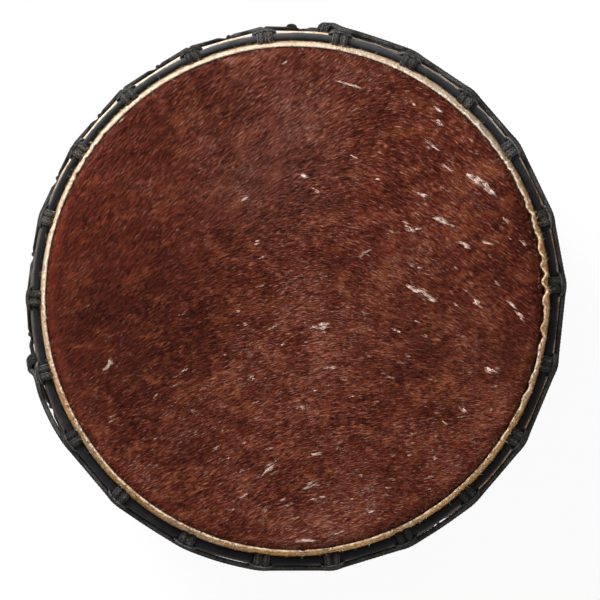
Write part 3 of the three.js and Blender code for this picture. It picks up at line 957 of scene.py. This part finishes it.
def surplus_route():
    """The rest of the tension rope: tied by the second knot, wound clockwise and tied at its end."""
    first, last = surplus_ties()
    angles = top_knots[1 : LAST_TIE_LOOP + 1]
    sway = np.random.default_rng(SEED + 1).uniform(-SURPLUS_SWAY, SURPLUS_SWAY, (len(angles), 2))
    corners = [
        around(a, bowed(SURPLUS_CORNER, SURPLUS_BOWS, a) + dr, HEIGHT + SURPLUS_Z + dz)
        for a, (dr, dz) in zip(angles, sway)
    ]
    places = []
    for here, there, slack in zip(corners, corners[1:] + corners[-1:], SURPLUS_SLACKS):
        places.append(here)
        way_out = unit((here + there) * (1, 1, 0))
        for share in SLACK_SHARES if slack else ():
            places.append(mix(here, there, share) + way_out * slack * 4 * share * (1 - share))
    wound = [station(place, thin=SURPLUS_RADIUS, broad=SURPLUS_RADIUS) for place in places]
    return [*first, *wound, *last, free_end_station(last[-1], 1)]


# Ropes as meshes


def with_guides(stations, closed, make):
    """Puts a station near each end of a long stretch, so that the rope runs straight between them."""
    route = []
    after = stations[1:] + (stations[:1] if closed else [])
    for here, there in zip(stations, after):
        route.append(here)
        span = np.linalg.norm(there.p - here.p)
        if span < make.longest:
            continue
        for share in (make.guide / span, 1 - make.guide / span):
            n = None if here.n is None else mix(here.n, there.n, share)
            sizes = mix(here.thin, there.thin, share), mix(here.broad, there.broad, share)
            route.append(station(mix(here.p, there.p, share), n, *sizes))
    return route if closed else route + stations[-1:]


def smooth(stations, closed, grain):
    """A centripetal Catmull-Rom curve through the stations, as arrays of places, directions and sizes."""
    count = len(stations)
    p = np.array([s.p for s in stations])
    n = np.array([(0.0, 0.0, 1.0) if s.n is None else s.n for s in stations])
    sizes = np.array([(s.thin, s.broad) for s in stations])
    rows = np.hstack([p, n, sizes])
    found = []
    for i in range(count if closed else count - 1):
        j = (i + 1) % count
        before = p[i - 1] if closed or i else 2 * p[0] - p[1]
        after = p[(i + 2) % count] if closed or i + 2 < count else 2 * p[-1] - p[-2]
        span = np.linalg.norm(p[j] - p[i])
        u = np.linspace(0, 1, max(math.ceil(span / grain), 1), endpoint=False)[:, None]
        t0, t1, t2 = (math.sqrt(np.linalg.norm(gap)) for gap in (p[i] - before, p[j] - p[i], after - p[j]))
        start = t1 * ((p[i] - before) / t0 - (p[j] - before) / (t0 + t1) + (p[j] - p[i]) / t1)
        stop = t1 * ((p[j] - p[i]) / t1 - (after - p[i]) / (t1 + t2) + (after - p[j]) / t2)
        curve = (2 * u**3 - 3 * u**2 + 1) * p[i] + (u**3 - 2 * u**2 + u) * start
        curve += (3 * u**2 - 2 * u**3) * p[j] + (u**3 - u**2) * stop
        found.append(np.hstack([curve, mix(rows[i, 3:], rows[j, 3:], u)]))
    if not closed:
        found.append(rows[-1:])
    return np.split(np.concatenate(found), (3, 6), axis=1)


def carried(tangents):
    """Directions square to a curve that don't twist about it."""
    n = np.cross(tangents[0], (0.3, 0.2, 0.93))
    found = []
    for t in tangents:
        n = unit(n - t * np.dot(n, t))
        found.append(n)
    return np.array(found)


def rope_rings(stations, closed, make):
    """The skin of a braided rope: a ring of points at each step along it, with the run so far.

    A closed rope is flat and keeps its stations' directions. An open one is round, and its braid isn't
    to twist, so its directions are carried along it.
    """
    p, n, halves = smooth(with_guides(stations, closed, make), closed, make.grain)
    ahead = np.roll(p, -1, axis=0) - np.roll(p, 1, axis=0)
    if not closed:
        ahead[0] = p[1] - p[0]
        ahead[-1] = p[-1] - p[-2]
    tangent = unit(ahead)
    across = unit(np.cross(tangent, n if closed else carried(tangent)))
    out = np.cross(across, tangent)
    gaps = np.linalg.norm(np.diff(p, axis=0, append=p[:1] if closed else p[-1:]), axis=1)
    length = gaps.sum()
    run = np.concatenate([[0], np.cumsum(gaps)[:-1]])
    lead = length / round(length / make.lead) if closed else make.lead
    turn = np.arange(make.sides) / make.sides
    a = turn[None, :] * make.picks + run[:, None] / lead
    b = turn[None, :] * make.picks - run[:, None] / lead
    pick = np.abs(np.sin(math.pi * a) * np.sin(math.pi * b)) ** 0.6
    size = make.relief * (pick - 1)
    angle = 2 * math.pi * turn
    broad = ((halves[:, 1:] + size) * np.cos(angle))[..., None] * across[:, None, :]
    thin = ((halves[:, :1] + size) * np.sin(angle))[..., None] * out[:, None, :]
    return SimpleNamespace(skin=p[:, None, :] + broad + thin, run=run, length=length, line=p)


def rope_piece(rings, closed, offset=0):
    """Points, faces and map of one stretch of rope, with flat ends where it isn't closed."""
    rows, sides = rings.skin.shape[:2]
    faces = (grid_faces(rows, sides, closed) + offset).tolist()
    uv = tube_map(np.append(rings.run, rings.length) if closed else rings.run, sides)
    if not closed:
        first = [offset + k for k in range(sides)]
        last = [(rows - 1) * sides + k for k in first]
        faces += [first, last[::-1]]
        uv = np.concatenate([uv, [(0.5, rings.run[0])] * sides + [(0.5, rings.run[-1])] * sides])
    return rings.skin.reshape(-1, 3), faces, uv


# Pieces


def cradle_rope(end, knots, material):
    """The cradle rope of one end, a cow hitch at each knot and a V between each two."""
    rings = rope_rings(cradle_route(knots), True, CRADLE)
    points, faces, uv = rope_piece(rings, True)
    piece = make_object(f"{end}_braided_cradle", to_world(points, end), faces, [material], uv=uv)
    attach(piece, f"{end}_rings")
    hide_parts(f"{end}_cradle_rope")
    print(f"{end} cradle rope: {rings.length:.2f} m, {len(points)} points")


def lacing_half(end, rings, side, material):
    """The stretches of the lacing on one side of the drum's middle, as one piece."""
    points, faces, uv = [], [], []
    offset = 0
    for start, stop in np.flatnonzero(np.diff(side, prepend=False, append=False)).reshape(-1, 2):
        rows = slice(start, stop + 1)
        part = SimpleNamespace(skin=rings.skin[rows], run=rings.run[rows])
        more, quads, places = rope_piece(part, False, offset)
        points.append(more)
        faces += quads
        uv.append(places)
        offset += len(more)
    name = f"tension_rope_{end}_lacing"
    piece = make_object(name, np.concatenate(points), faces, [material], uv=np.concatenate(uv))
    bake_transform(piece)
    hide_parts("tension_rope")


def tension_rope(material, surplus_material):
    """The lacing in two halves that meet at the drum's middle, and the surplus wound round the head."""
    rings = rope_rings(lacing_route(), False, LACING)
    high = rings.line[:, 2] > MIDDLE
    lacing_half("top", rings, high, material)
    lacing_half("bottom", rings, ~high, material)
    surplus = rope_rings(surplus_route(), False, SURPLUS)
    points, faces, uv = rope_piece(surplus, False)
    piece = make_object("tension_rope_surplus", points, faces, [surplus_material], uv=uv)
    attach(piece, "top_rings")
    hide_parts("tension_rope")
    print(f"tension rope: lacing {rings.length:.2f} m, surplus {surplus.length:.2f} m")


def wound_ring(end, material):
    """The crown ring's cloth: a strip wound round the rod, each turn lapping over the one before."""
    steps, sides = CLOTH_POINTS
    angles = whole_turn(steps)
    turn = np.arange(sides) / sides
    wander = ripple(angles, 20, 60, WANDER_SHARE, 2)[:, None]
    lap = (angles[:, None] / (2 * math.pi) * CLOTH_TURNS + turn + wander) % 1
    step = smoothstep(lap / LAP_SHARE) * (1 - THINNING_SHARE * lap)
    crease = ripple(angles, 300, 700, CREASE, 3)[:, None] * np.sin(2 * math.pi * (turn + lap))
    swell = ripple(angles, 6, 60, CLOTH_SWELL, 4)[:, None]
    size = CLOTH_RADIUS - LAP_STEP + LAP_STEP * step + crease + swell
    section = 2 * math.pi * turn
    outlines = np.stack([
        crown_radius(angles)[:, None] + size * np.cos(section),
        CROWN_Z + size * np.sin(section),
    ], -1)
    uv = tube_map(np.linspace(0, 2 * math.pi * CROWN_RING_RADIUS, steps + 1), sides)
    piece = turned(f"{end}_wound_cloth", outlines, angles, end, [material], uv=uv)
    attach(piece, f"{end}_rings")
    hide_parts(f"{end}_ring_cloth")


def head_height(radius):
    """How far the head's hair side lies below the playing surface at a radius, where it rounds the rim."""
    past = np.clip(radius - HEAD_FLAT, 0, HEAD_ROUND)
    return HEAD_ROUND - np.sqrt(HEAD_ROUND**2 - past**2)


def flow(x, y):
    """The direction that the hair lies in at places on the head."""
    total = np.zeros(np.shape(x))
    weights = np.zeros(np.shape(x))
    for centre, reach, degrees in HAIR_ZONES:
        weight = np.exp(-((x - centre[0]) ** 2 + (y - centre[1]) ** 2) / (reach / 2) ** 2) + 1e-6
        total += weight * math.radians(degrees)
        weights += weight
    return total / weights


def lie_map(piece, end):
    """A map along and across the hair, which follows it from each place on the head to the middle line."""
    mesh = piece.data
    places = np.empty(len(mesh.vertices) * 3)
    mesh.vertices.foreach_get("co", places)
    x, y = places.reshape(-1, 3)[:, 0], places.reshape(-1, 3)[:, 1] * (1 if end == "top" else -1)
    across = y.copy()
    steps = 60
    for k in range(steps):
        across -= np.tan(flow(x * (1 - (k + 0.5) / steps), across)) * x / steps
    corners = np.empty(len(mesh.loops), np.int32)
    mesh.loops.foreach_get("vertex_index", corners)
    layer = mesh.uv_layers.new(name="Lie")
    layer.uv.foreach_set("vector", np.stack([x, across], -1)[corners].astype(np.float32).ravel())


def hide_skin(end, material):
    """The head and its collar down the shell, one sheet with the hair outside."""
    rim = (HEAD_FLAT, -HEAD_ROUND)
    low = FLESH_Z - COLLAR_DROP
    out = [(r, 0.0) for r in np.linspace(CENTRE_HOLE, HEAD_FLAT, HEAD_POINTS)]
    out += arc(rim, HEAD_ROUND, 90, 0, 10)[1:]
    out += [(COLLAR_OUTER, z) for z in np.linspace(-HEAD_ROUND, low, 8)[1:]]
    back = [(COLLAR_OUTER - HIDE_THICKNESS, z) for z in np.linspace(low, -HEAD_ROUND, 4)]
    back += arc(rim, HEAD_ROUND - HIDE_THICKNESS, 0, 90, 6)[1:]
    back += [(r, -HIDE_THICKNESS) for r in np.linspace(HEAD_FLAT, CENTRE_HOLE, 8)[1:]]
    angles = whole_turn(HEAD_STEPS)
    outlines = repeated((out + back)[::-1], angles)
    hair_side = (outlines[..., 1] > -HEAD_SWELL_DEPTH) & (outlines[..., 0] > 10 * CENTRE_HOLE)
    swell = ripple(angles, 2, 9, HEAD_SWELL, 5)[:, None] * np.sin(outlines[..., 0] * 60)
    outlines[..., 1] -= np.where(hair_side, np.abs(swell), 0)
    piece = turned(f"{end}_hide_skin", outlines, angles, end, [material])
    lie_map(piece, end)
    start, stop = (HEIGHT - z if end == "top" else z for z in COLLAR_STRETCH)
    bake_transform(piece)
    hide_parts(f"{end}_hide")


def edge_lean(angles):
    """How far the cut edge stands off the collar, round the drum."""
    wide_wave, narrow_wave = SCALLOPS.waves
    waves = ripple(angles, 60, 110, wide_wave, 6) + ripple(angles, 120, 260, narrow_wave, 7)
    lean = np.abs(ripple(angles, 3, 40, UNEVEN_LEAN, 8))
    lean = lean + within(angles, SCALLOPS) * (SCALLOPS.size + waves)
    lean = lean + within(angles, LOW_LEAN) * LOW_LEAN.size
    for degrees in NOTCH_PLACES:
        lean = lean + NOTCH_SIZE * np.exp(-(away_from(angles, degrees) / NOTCH_WIDTH) ** 2)
    return np.clip(lean, 0.0, MOST_LEAN)


def hide_fold(end, materials):
    """The fold round the flesh ring, and the raw cut edge that stands up between collar and crown ring.

    The materials are those of the flesh side, of the cut and of the hair side.
    """
    angles = whole_turn(FOLD_STEPS)
    inner, bend = COLLAR_OUTER, HIDE_THICKNESS
    foot = FLESH_Z + FOLD_OUTER
    lean = edge_lean(angles)
    ragged = ripple(angles, 30, 300, RAGGED[0], 9) + ripple(angles, 3, 20, RAGGED[1], 10)
    top = -CUT_DEPTH + np.clip(ragged, *RAGGED_LIMITS)
    fray = ripple(angles, 200, 520, FRAYED, 11)
    notched = ripple(angles, 60, 200, NOTCHED, 13)
    ring_inside = crown_radius(angles) - CLOTH_RADIUS
    lower = [(inner - bend, FLESH_Z - FOLD_OUTER + bend), (inner, FLESH_Z - FOLD_OUTER)]
    levels = np.linspace(0, 1, 10)
    outlines = []
    for k, rod_radius in enumerate(crown_radius(angles) + FLESH_RING_SPREAD):
        rod = (rod_radius, FLESH_Z)
        base = arc(rod, FOLD_OUTER, -90, 90, 10)
        back = [(inner + bend, FLESH_Z + FOLD_INNER), *arc(rod, FOLD_INNER, 90, -90, 8)]
        back += [(inner + bend, FLESH_Z - FOLD_INNER), (inner, FLESH_Z - FOLD_INNER + bend)]
        crest = inner + CUT_WIDTH + lean[k] + notched[k]
        waist = max(ring_inside[k] - WAIST_GAP, crest)
        wall = []
        for t in levels:
            r = mix(inner + FOLD_FOOT, waist, t / WAIST_SHARE)
            if t > WAIST_SHARE:
                r = mix(waist, crest, smoothstep((t - WAIST_SHARE) / (1 - WAIST_SHARE)))
            wall.append((r + fray[k] * t, mix(foot, top[k], t)))
        cut = [(inner + CUT_WIDTH * 0.5 + lean[k], top[k] + CUT_ROUND + fray[k])]
        high = top[k] + 2 * fray[k]
        face = [(inner + lean[k] * t**1.5 + fray[k] * t, mix(foot, high, t)) for t in levels[::-1]]
        outlines.append(lower + base + wall + cut + face + back)
    outlines = np.array(outlines)
    outlines[:, len(lower) : len(lower) + len(base), 0] += ripple(angles, 20, 90, FOLD_SWELL, 12)[:, None]
    cut_from = len(lower) + len(base) + len(levels) - 1
    slots = np.zeros(outlines.shape[1], int)
    slots[cut_from:] = 1
    slots[cut_from + 2 :] = 2
    face_slots = np.tile(slots, len(angles))
    piece = turned(f"{end}_hide_fold", outlines, angles, end, materials, face_slots=face_slots)
    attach(piece, f"{end}_rings")
    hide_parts(f"{end}_hide")


def rods(end, material):
    """The two steel rings, inside the cloth and the fold."""
    angles = whole_turn(ROD_STEPS)
    for ring, z, spread in (("crown", CROWN_Z, 0.0), ("flesh", FLESH_Z, FLESH_RING_SPREAD)):
        outlines = repeated(arc((0, z), ROD_RADIUS, 0, 360, 20)[:-1], angles)
        outlines[..., 0] += crown_radius(angles)[:, None] + spread
        piece = turned(f"{end}_{ring}_rod", outlines, angles, end, [material])
        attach(piece, f"{end}_rings")
        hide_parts(f"{end}_{ring}_ring")


def strands(name, roots, directions, lengths, lifts, widths, slots, materials, end, body):
    """Thin three-sided strands from their roots: they rise, bend over and taper to a point."""
    count = len(roots)
    up = np.array([0, 0, 1.0])
    side = unit(np.cross(directions, up))
    rise = lifts[:, None] * up
    knee = roots + directions * lengths[:, None] * KNEE_SHARE + rise
    tip = roots + directions * lengths[:, None] + rise * TIP_SHARE
    tip += side * (random.normal(0, SWAY_SHARE, count) * lengths)[:, None]
    rows = []
    for centre, size in ((roots, ROOT_SHARE), (knee, 1.0)):
        for across, high in ((-0.5, 0.0), (0.5, 0.0), (0.0, 0.8)):
            rows.append(centre + (side * across + up * high) * (widths * size)[:, None])
    rows.append(tip)
    points = np.stack(rows, 1)
    quads = [(0, 1, 4, 3), (1, 2, 5, 4), (2, 0, 3, 5)]
    triangles = [(3, 4, 6), (4, 5, 6), (5, 3, 6), (0, 2, 1)]
    per = points.shape[1]
    faces = []
    for i in range(count):
        faces += [[i * per + k for k in face[::-1]] for face in (*quads, *triangles)]
    face_slots = np.repeat(slots, len(quads) + len(triangles))
    piece = make_object(name, to_world(points.reshape(-1, 3), end), faces, materials, face_slots)
    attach(piece, body)


def coat_patches(x, y):
    """An uneven value over the head, from waves that don't line up, by which hairs are dark or light."""
    patch = 0.8 * np.sin(x * 61 + 1.3) * np.sin(y * 47 + 0.4) + 0.6 * np.sin(x * 23 - y * 31)
    patch += 0.7 * np.sin(x * 160 + 3 * np.sin(y * 55)) * np.sin(y * 145 + 2 * np.sin(x * 70))
    patch += random.normal(0, 1.0, len(x))
    for centre, reach, change in TONE_PATCHES:
        patch += 9 * change * smoothstep(1 - np.hypot(x - centre[0], y - centre[1]) / reach)
    return patch


def hair(end, layer, materials):
    """Short hairs lying close on the head, most of them dark, with rust and tan ones in patches."""
    count = HAIR.count
    radius = HAIR.root_radius * np.sqrt(random.uniform(0, 1, count))
    angle = random.uniform(0, 2 * math.pi, count)
    x, y = radius * np.cos(angle), radius * np.sin(angle)
    lie = flow(x, y) + random.normal(0, HAIR.stray, count)
    lengths = random.uniform(*HAIR.lengths, count)
    past = np.hypot(x + lengths * np.cos(lie), y + lengths * np.sin(lie))
    lengths = np.where(past > HAIR.tip_radius, lengths * HAIR.cut_share, lengths)
    tip_drop = head_height(np.minimum(past, HEAD_END)) - head_height(radius)
    directions = around(lie, 1.0, -tip_drop / lengths * HAIR.bend_share)
    slots = np.digitize(coat_patches(x, y), HAIR.tones)
    roots = around(angle, radius, -head_height(radius) - HAIR.sink)
    lifts = random.uniform(*HAIR.lifts, count)
    widths = random.uniform(*HAIR.widths, count)
    name = f"{end}_hide_hair_{layer}"
    strands(name, roots, directions, lengths, lifts, widths, slots, materials, end, "drum")


def rim_hair(end, materials):
    """Hairs at the rim that lie outwards, over the gap to the cut edge."""
    count = RIM_HAIR.count
    angle = random.uniform(-math.pi, math.pi, count)
    radius = random.uniform(*RIM_HAIR.radii, count)
    lie = angle + random.normal(0, RIM_HAIR.stray, count)
    roots = around(angle, radius, -head_height(radius) - RIM_HAIR.sink)
    lengths = random.uniform(*RIM_HAIR.lengths, count)
    directions = around(lie, 1.0, random.uniform(*RIM_HAIR.slopes, count))
    lifts = random.uniform(*RIM_HAIR.lifts, count)
    widths = random.uniform(*RIM_HAIR.widths, count)
    slots = random.integers(0, len(materials), count)
    strands(f"{end}_hide_rim_hair", roots, directions, lengths, lifts, widths, slots, materials, end, "drum")


def strewn_flecks():
    """Small thin tufts strewn over the coat, most of them low on the head and to the right."""
    places = random.uniform(-STREWN_REACH, STREWN_REACH, (STREWN_FLECKS, 2))
    least, most = STREWN_SIZES
    strewn = []
    for x, y in places:
        wanted = smoothstep(0.5 + (STREWN_SLANT * x - y) / STREWN_FADE)
        long, wide, thick, chance = random.uniform((*least, 0), (*most, 1))
        if math.hypot(x, y) < STREWN_REACH and chance < wanted:
            pixel = AXIS_PIXEL[0] + x / METRES_PER_PIXEL, AXIS_PIXEL[1] - y / METRES_PER_PIXEL
            strewn.append((*pixel, math.degrees(flow(x, y)), long, wide, thick, STREWN_FAWN))
    return strewn


def shown_flecks():
    """The photographed tufts, the low ones more fawn."""
    first_row, rows = LOW_PIXELS
    return [(*fleck, LOW_FAWN * smoothstep((fleck[1] - first_row) / rows)) for fleck in FLECK_PIXELS]


def flecks(materials):
    """Tufts of white hair in the head's coat, where the photograph shows them, and small ones between."""
    found = []
    (apart_along, apart_aside), (stray_along, stray_aside) = FLECK.apart, FLECK.stray
    for x, y, degrees, long, wide, thick, fawn in shown_flecks() + strewn_flecks():
        locks = 2 + round(long * wide / FLECK.lock_pixels)
        count = int(FLECK.fewest + FLECK.more * thick)
        lock = random.integers(0, locks, count)
        middle_along = random.uniform(-apart_along, apart_along, locks)[lock] * long
        middle_aside = random.uniform(-apart_aside, apart_aside, locks)[lock] * wide
        along = middle_along + random.normal(0, stray_along, count) * long
        aside = middle_aside + random.normal(0, stray_aside, count) * wide
        lie = math.radians(degrees)
        px, py = from_pixel(x, y)
        each = lie + random.normal(0, FLECK.lock_turn, locks)[lock] + random.normal(0, FLECK.hair_turn, count)
        length = np.clip(random.normal(*FLECK.long, count) * long, *FLECK.pixels) * METRES_PER_PIXEL
        run, off = along * METRES_PER_PIXEL, aside * METRES_PER_PIXEL
        cx = px + run * math.cos(lie) - off * math.sin(lie) - length / 2 * np.cos(each)
        cy = py + run * math.sin(lie) + off * math.cos(lie) - length / 2 * np.sin(each)
        edge = np.hypot(along / (FLECK.core * long), aside / (FLECK.core * wide))
        slot = np.digitize(edge + random.normal(0, FLECK.uneven, count) - thick + fawn, FLECK.tones)
        found.append(np.stack([cx, cy, each, length, random.uniform(*FLECK.widths, count), slot], -1))
    cx, cy, lie, lengths, widths, slots = np.concatenate(found).T
    roots = np.stack([cx, cy, FLECK.rise - head_height(np.minimum(np.hypot(cx, cy), HEAD_END))], -1)
    lifts = random.uniform(*FLECK.lifts, len(lie))
    directions = around(lie, 1.0, 0.0)
    name = "top_hide_white_flecks"
    strands(name, roots, directions, lengths, lifts, widths, slots, materials, "top", "drum")


def fibres(end, materials):
    """Raw fibres and a few hairs that stick out of the cut edge, over the gap to the ring."""
    count = FIBRES.count
    angle = random.uniform(-math.pi, math.pi, count)
    places = np.linspace(-math.pi, math.pi, 1441)
    lean = np.interp(angle, places, edge_lean(places))
    radius = COLLAR_OUTER + FIT_GAP + lean + random.uniform(*FIBRES.offsets, count)
    heading = angle + random.normal(0, FIBRES.stray, count)
    directions = around(heading, 1.0, random.normal(*FIBRES.slope, count))
    roots = around(angle, radius, -CUT_DEPTH - random.uniform(*FIBRES.drops, count))
    lengths = random.gamma(FIBRES.evenness, FIBRES.least, count) + FIBRES.least
    lengths = np.minimum(lengths, FIBRES.most)
    widths = random.uniform(*FIBRES.widths, count)
    slots = (random.uniform(0, 1, count) > FIBRES.cream_share).astype(int)
    lifts = random.uniform(*FIBRES.lifts, count)
    rings = f"{end}_rings"
    strands(f"{end}_hide_fibres", roots, directions, lengths, lifts, widths, slots, materials, end, rings)


def carved_shell(material):
    """The shell, carved by hand: shallow facets of the adze outside, eased and rounded at both edges."""
    foot = HIDE_THICKNESS + FIT_GAP
    head = HEIGHT - foot
    bore = SHELL_RADIUS - SHELL_WALL
    ease = SHELL_WALL - RIM_ROUND
    around_shell, up_shell = SHELL_POINTS
    angles = whole_turn(around_shell)
    levels = np.linspace(foot + RIM_ROUND, head - RIM_ROUND, up_shell)
    low = [(bore, foot + ease), (bore + ease, foot)]
    low += arc((SHELL_RADIUS - RIM_ROUND, foot + RIM_ROUND), RIM_ROUND, -90, 0, 6)[1:-1]
    high = arc((SHELL_RADIUS - RIM_ROUND, head - RIM_ROUND), RIM_ROUND, 0, 90, 6)[1:]
    high += [(bore, head - ease)]
    outlines = repeated(low + [(SHELL_RADIUS, z) for z in levels] + high, angles)
    cuts = np.zeros((len(angles), len(levels)))
    for lowest, highest, rows, depth in FACETS:
        for k in range(FACET_SETS):
            wave = ripple(angles, lowest, highest, depth, 20 + k + lowest)
            cuts += wave[:, None] * np.sin(levels * rows * (k + 1) * FACET_ROWS + k * FACET_SHIFT) / 2
    outlines[:, len(low) : -len(high), 0] -= np.clip(np.abs(cuts), 0, MOST_FACET)
    piece = turned("shell_carved", outlines, angles, None, [material])
    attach(piece, "drum")
    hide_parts("shell")


# The stage


def camera():
    """Straight above the drum, with the photograph's frame."""
    data = bpy.data.cameras.new("camera")
    data.sensor_width = SENSOR
    data.lens = SENSOR * CAMERA_DISTANCE / (IMAGE_PIXELS * METRES_PER_PIXEL)
    data.clip_end = CAMERA_REACH
    seen = bpy.data.objects.new("camera", data)
    seen.location = (*from_pixel(IMAGE_PIXELS / 2, IMAGE_PIXELS / 2), HEIGHT + CAMERA_DISTANCE)
    bpy.context.scene.collection.objects.link(seen)
    bpy.context.scene.camera = seen


def floor():
    """A pale floor. The camera and gloss see it near white, and the drum's shadow stays on it."""
    corners = [(x * FLOOR_HALF, y * FLOOR_HALF, 0) for x, y in ((-1, -1), (1, -1), (1, 1), (-1, 1))]
    mesh = bpy.data.meshes.new("floor")
    mesh.from_pydata(corners, [], [(0, 1, 2, 3)])
    s = Shader("floor_pale", 1.0, 0.0)
    s.feed(s.surface, {"Base Color": FLOOR_COLOUR})
    glow = s.put("ShaderNodeEmission")
    s.seen("Material Output", Value(s, s.surface.outputs[0]), glow, FLOOR_GLOW_SHARE)
    mesh.materials.append(s.material)
    ground = bpy.data.objects.new("floor", mesh)
    ground.location.z = -FLOOR_GAP
    bpy.context.scene.collection.objects.link(ground)


def surround():
    """An even pale surround, brighter at the horizon than overhead."""
    world = bpy.data.worlds.new("surround")
    nodes = Nodes(world)
    place = nodes.put("ShaderNodeTexCoord", out="Generated")
    levels = {"From Min": 0.0, "From Max": SURROUND_RISE, "To Min": SURROUND_LOW, "To Max": SURROUND_HIGH}
    level = nodes.put("ShaderNodeMapRange", {"Value": nodes.parts(place)[2], **levels})
    even = nodes.tree.nodes["Background"]
    nodes.feed(even, {"Color": (1, 1, 1), "Strength": level})
    shown = nodes.put("ShaderNodeBackground", {"Color": SEEN_SURROUND, "Strength": 1.0})
    nodes.seen("World Output", Value(nodes, even.outputs[0]), shown, 1.0)
    bpy.context.scene.world = world


def lights():
    """One large soft lamp from the upper left and a weaker one opposite, both aimed at the head."""
    for name, place, size, power in LAMPS:
        data = bpy.data.lights.new(name, "AREA")
        data.shape = "DISK"
        data.size = size
        data.energy = power
        lamp = bpy.data.objects.new(name, data)
        lamp.location = place
        x, y, z = np.array([0, 0, HEIGHT]) - place
        lamp.rotation_euler = (math.atan2(math.hypot(x, y), -z), 0, math.atan2(y, x) - math.pi / 2)
        bpy.context.scene.collection.objects.link(lamp)


# The scene

camera()
surround()
lights()
floor()
bpy.context.scene.view_settings.view_transform = "Standard"

coat = {end: hide_material(end) for end in ("top", "bottom")}
flesh_side = rawhide_material(
    "flesh_side", ((0.48, 0.31, 0.18), (0.74, 0.55, 0.37), (0.87, 0.74, 0.56), (0.93, 0.85, 0.73)), 0.90
)
cut_face = rawhide_material(
    "cut_face", ((0.56, 0.40, 0.26), (0.80, 0.65, 0.48), (0.90, 0.80, 0.65), (0.94, 0.89, 0.80)), 0.30
)
hairs = [
    hair_material("hair_maroon", (0.010, 0.0014, 0.0008), (0.050, 0.0075, 0.0034)),
    hair_material("hair_brown", (0.055, 0.0085, 0.0036), (0.13, 0.024, 0.010)),
    hair_material("hair_rust", (0.11, 0.022, 0.008), (0.26, 0.078, 0.030)),
    hair_material("hair_tan", (0.20, 0.088, 0.064), (0.44, 0.27, 0.215)),
]
whites = [
    hair_material("hair_white", (0.84, 0.63, 0.52), (1.0, 0.83, 0.74)),
    hair_material("hair_pink", (0.46, 0.25, 0.185), (0.80, 0.56, 0.46)),
    hair_material("hair_fawn", (0.26, 0.105, 0.070), (0.54, 0.29, 0.21)),
]
frayed = [
    hair_material("fibre_cream", (0.55, 0.36, 0.19), (0.86, 0.70, 0.50)),
    hair_material("fibre_brown", (0.10, 0.035, 0.016), (0.30, 0.13, 0.06)),
]
cradle_finish = rope_material("rope_cradle", CRADLE)
lacing_finish = rope_material("rope_lacing", LACING)
surplus_finish = rope_material("rope_surplus", SURPLUS)
cloth_finish = cloth_material()
steel_finish = steel_material()

carved_shell(wood_material())
for end, knots in (("top", top_knots), ("bottom", [-angle for angle in bottom_knots][::-1])):
    hide_skin(end, coat[end])
    hide_fold(end, [flesh_side, cut_face, flesh_side])
    wound_ring(end, cloth_finish)
    cradle_rope(end, knots, cradle_finish)
    rods(end, steel_finish)
    fibres(end, frayed)
tension_rope(lacing_finish, surplus_finish)
for layer in range(HAIR_LAYERS):
    hair("top", layer, hairs)
hair("bottom", 0, hairs)
for end in ("top", "bottom"):
    rim_hair(end, hairs)
flecks(whites)
